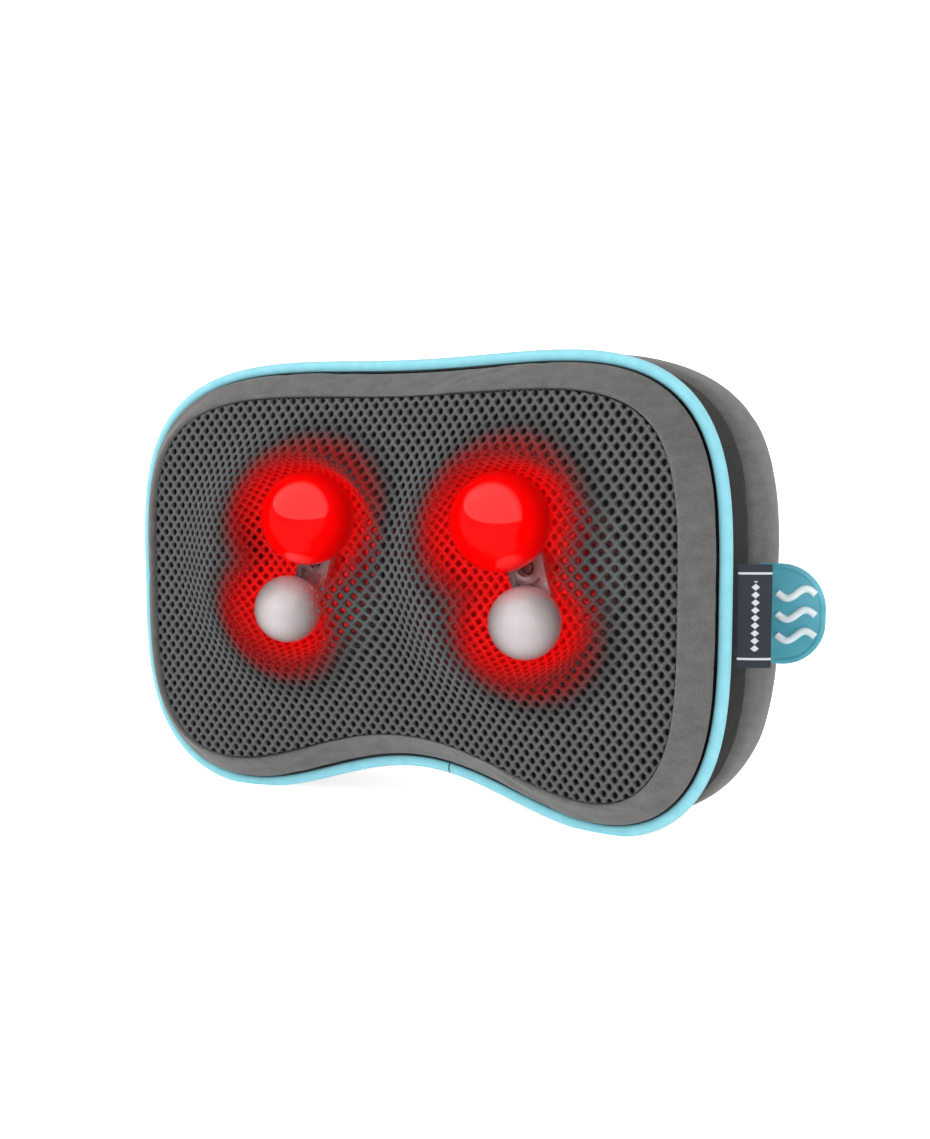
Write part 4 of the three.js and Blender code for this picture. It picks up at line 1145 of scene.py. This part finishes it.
def gel_tab(look, relief_look):
    """The soft tab: a thin field inside a raised rim, with three plain waves standing on it."""
    edge = 0.0005
    field = np.insert(rounded_tab(edge), 2, 0, axis=1)
    shape = {"fill_mode": "BOTH", "extrude": 0.0004, "bevel_depth": edge, "bevel_resolution": 3}
    plate = bevelled("gel_tab", field, True, dimensions="2D", **shape)
    plate.matrix_world = Matrix.Translation((0, TAB_MIDDLE.y, 0)) @ Matrix.Rotation(math.radians(90), 4, "X")
    tab = baked(plate, look)
    rim = tube("gel_tab_rim", at_y(rounded_tab(0.0016), TAB_MIDDLE.y), 0.0013, look, closed=True)
    waves = []
    span = np.linspace(-1, 1, 33)
    for index in (-1, 0, 1):
        x = TAB_MIDDLE.x + 0.0025 + 0.0090 * span
        z = TAB_MIDDLE.z + 0.0100 * index + 0.0024 * np.sin(span * np.pi)
        path = at_y(joined(x, z), TAB_MIDDLE.y - 0.0005)
        waves.append(tube(f"gel_tab_wave_{index + 2}", path, 0.0018, relief_look))
    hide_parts("pull_tab")
    return [tab, rim, *waves]


# ---- massage heads


def arc(radius, low, high, count):
    """Points (radius, y) of a ball's profile between two distances behind its centre."""
    angle = np.linspace(math.asin(low / radius), math.asin(high / radius), count)
    return joined(radius * np.cos(angle), radius * np.sin(angle))


BALL_CUT = 0.014  # from a ball's centre to its flat back
BALL_BORE = 0.0034
BALL_WALL = 0.003  # of the hollow heated ball
HUB_RADIUS, HUB_BACK = 0.006, 0.012  # its hub tube, and how far behind the centre that ends
LIP = 0.0006  # how far an edge is rounded


def heated_profile(radius):
    """A hollow shell, open at the back round its heater, with a rounded lip and a hub tube."""
    inner = radius - BALL_WALL
    shell = arc(radius, -radius, BALL_CUT - LIP, 48)
    lip = arc(radius - LIP, BALL_CUT, BALL_CUT, 1)
    hollow = arc(inner, BALL_CUT, -0.0211, 16)
    hub = [(HUB_RADIUS, HUB_BACK - LIP), (HUB_RADIUS - LIP, HUB_BACK), (BALL_BORE, HUB_BACK)]
    return [(0, -radius), *shell[1:], *lip, *hollow, *hub, (BALL_BORE, -0.016), (0, -0.016)]


def small_profile(radius):
    """A solid ball with a flat back and a bore for its pin."""
    shell = arc(radius, -radius, BALL_CUT - LIP, 40)
    lip = [(0.0112, BALL_CUT), (BALL_BORE + 0.0004, BALL_CUT), (BALL_BORE, BALL_CUT - 0.0004)]
    return [(0, -radius), *shell[1:], *lip, (BALL_BORE, -0.012), (0, -0.012)]


def balls(lit, pearl):
    for side, _ in SIDES:
        for kind, profile, look in (("heated", heated_profile, lit), ("small", small_profile, pearl)):
            body = f"{side}_{kind}_ball"
            line = profile(BALL_RADIUS[kind])
            piece = turned(f"{kind}_ball_skin_{side}", line, joint_place(body + "_spin"), look)
            piece.data.set_sharp_from_angle(angle=math.radians(50))
            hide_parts(f"{kind}_ball_{side}")
            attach(piece, body)


# ---- stage, light and camera


def backdrop(look):
    """A pale floor that sweeps up behind the object."""
    floor = cad_low.z - 0.0002
    bend = np.linspace(0, math.pi / 2, 17)
    reach, radius, height = 1.5, 1.2, 3.0
    y = [-3.0, *(reach + radius * np.sin(bend)), reach + radius]
    z = [0.0, *(radius * (1 - np.cos(bend))), height]
    x = np.linspace(-4.0, 4.0, 9)
    grid = np.array([[(xi, yi, floor + zi) for yi, zi in zip(y, z)] for xi in x])
    floor_piece = grid_piece("backdrop", grid, look)
    floor_piece.visible_glossy = False


def softbox(name, place, aim, width, height, power, mirrored=True):
    light = bpy.data.lights.new(name, "AREA")
    lamp = linked(name, set_up(light, shape="ELLIPSE", size=width, size_y=height, energy=power))
    lamp.visible_glossy = mirrored
    toward = Vector(aim) - Vector(place)
    lamp.matrix_world = Matrix.Translation(place) @ toward.to_track_quat("-Z", "Y").to_matrix().to_4x4()


def studio():
    scene = bpy.context.scene
    scene.view_settings.view_transform = "Standard"
    world = bpy.data.worlds.new("studio")
    world.use_nodes = True
    nodes, links = world.node_tree.nodes, world.node_tree.links
    background = nodes["Background"]
    background.inputs["Color"].default_value = (1.0, 1.0, 1.0, 1.0)
    seen = nodes.new("ShaderNodeLightPath")
    strength = nodes.new("ShaderNodeMapRange")
    strength.inputs["To Min"].default_value = 0.1
    strength.inputs["To Max"].default_value = 0.95
    links.new(seen.outputs["Is Camera Ray"], strength.inputs["Value"])
    links.new(strength.outputs[0], background.inputs["Strength"])
    scene.world = world
    middle = (0.0, PIPING_Y, 0.0)
    softbox("overhead", (0.14, -0.40, 0.72), middle, 5.0, 3.4, 48.0)
    softbox("left", (-1.5, -0.9, 0.35), middle, 1.2, 1.6, 16.0, mirrored=False)


def camera():
    lens = bpy.data.cameras.new("camera")
    set_up(lens, sensor_width=36.0, lens=42.28, shift_x=0.0389, shift_y=0.0126, clip_start=0.05)
    eye = linked("camera", lens)
    azimuth, elevation, roll = (math.radians(a) for a in (30.0, 5.03, -0.24))
    distance = 0.7035
    level = math.cos(elevation)
    away = Vector((math.sin(azimuth) * level, -math.cos(azimuth) * level, math.sin(elevation)))
    aim = Vector((0.0, PIPING_Y, 0.0))
    turn = (-away).to_track_quat("-Z", "Y").to_matrix().to_4x4()
    eye.matrix_world = Matrix.Translation(aim + distance * away) @ turn @ Matrix.Rotation(roll, 4, "Z")
    bpy.context.scene.camera = eye


# ---- the object


camera()
studio()
backdrop(floor_look())

suede = suede_look("grey_suede", (0.084, 0.082, 0.079), (0.136, 0.134, 0.130))
thread = woven_look("thread", (0.10, 0.10, 0.10), (0.22, 0.22, 0.21), 0.0005)
tape_weave = woven_look("zip_weave", (0.010, 0.010, 0.011), (0.045, 0.045, 0.047), 0.0008)
control = plastic_look("satin_black", (0.020, 0.021, 0.023), 0.38)
steel = metal_look("zinc_steel", (0.58, 0.59, 0.60), 0.28)
arm = metal_look("cast_arm", (0.72, 0.68, 0.69), 0.34, (1.0, 1.0, 0.3), metallic=0.75)
housing = plastic_look("housing_plastic", (0.030, 0.031, 0.034), 0.5)

heads = {side: eased(f"rotor_arm_{side}", 0.0006, arm, f"{side}_rotor") for side, _ in SIDES}
liner = liner_look(heads)
cover = [
    front_net(net_look(heads)),
    mesh_backing(lining_look(heads)),
    *[pocket_net(name, side, liner) for name, side in SIDES],
    *[pocket_hem(name, side, liner) for name, side in SIDES],
    *cover_panels(suede, knit_look()),
    piping_cord(piping_look()),
    *back_panel(suede, thread),
    *zip_fastener(tape_weave, plastic_look("coil_nylon", (0.02, 0.02, 0.022), 0.4)),
    woven_label(label_look()),
    *gel_tab(
        gel_look("teal_gel", (0.075, 0.36, 0.45), (0.12, 0.45, 0.55), 0.95),
        gel_look("pale_gel", (0.66, 0.76, 0.80), (0.78, 0.86, 0.88), 1.0),
    ),
]
for item in cover:
    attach(item, "pillow")

foam = foam_look(heads)
cut_foam("foam_surround", 0.003, foam)
cut_foam("rear_foam_pad", 0.005, foam)

balls(heated_look(), pearl_look())
for side, _ in SIDES:
    eased(f"arm_screw_{side}", 0.0003, steel, f"{side}_rotor")
# The housing behind the heads gets a painted red glow from them.
eased("front_housing", 0.0006, plastic_look("head_glow_housing", (0.030, 0.031, 0.034), 0.5, heads=heads))
eased("control_pod", 0.0006, control)
eased("dc_inlet", 0.0003, control)
eased("power_button", 0.0006, plastic_look("button_rubber", (0.045, 0.047, 0.05), 0.55), "power_button")
eased("indicator_lens", 0.0004, lamp_look())
eased("zip_slider", 0.0004, steel, "zip_slider")
eased("zip_puller", 0.0003, steel, "zip_puller")

slot_looks = {
    "housing": housing,
    "steel": steel,
    "nylon": plastic_look("natural_nylon", (0.80, 0.78, 0.70), 0.45),
    "brass": metal_look("turned_brass", (0.60, 0.46, 0.20), 0.3),
    "board": board_look(),
    "control": control,
    "lead": plastic_look("lead_sleeve", (0.02, 0.02, 0.022), 0.6),
}
for part in frame["record"]["subparts"]:
    shown = frame["nodes"][part["node"]]
    if part["material_slot"] in slot_looks and not shown.hide_render:
        for place in shown.material_slots:
            place.material = slot_looks[part["material_slot"]]
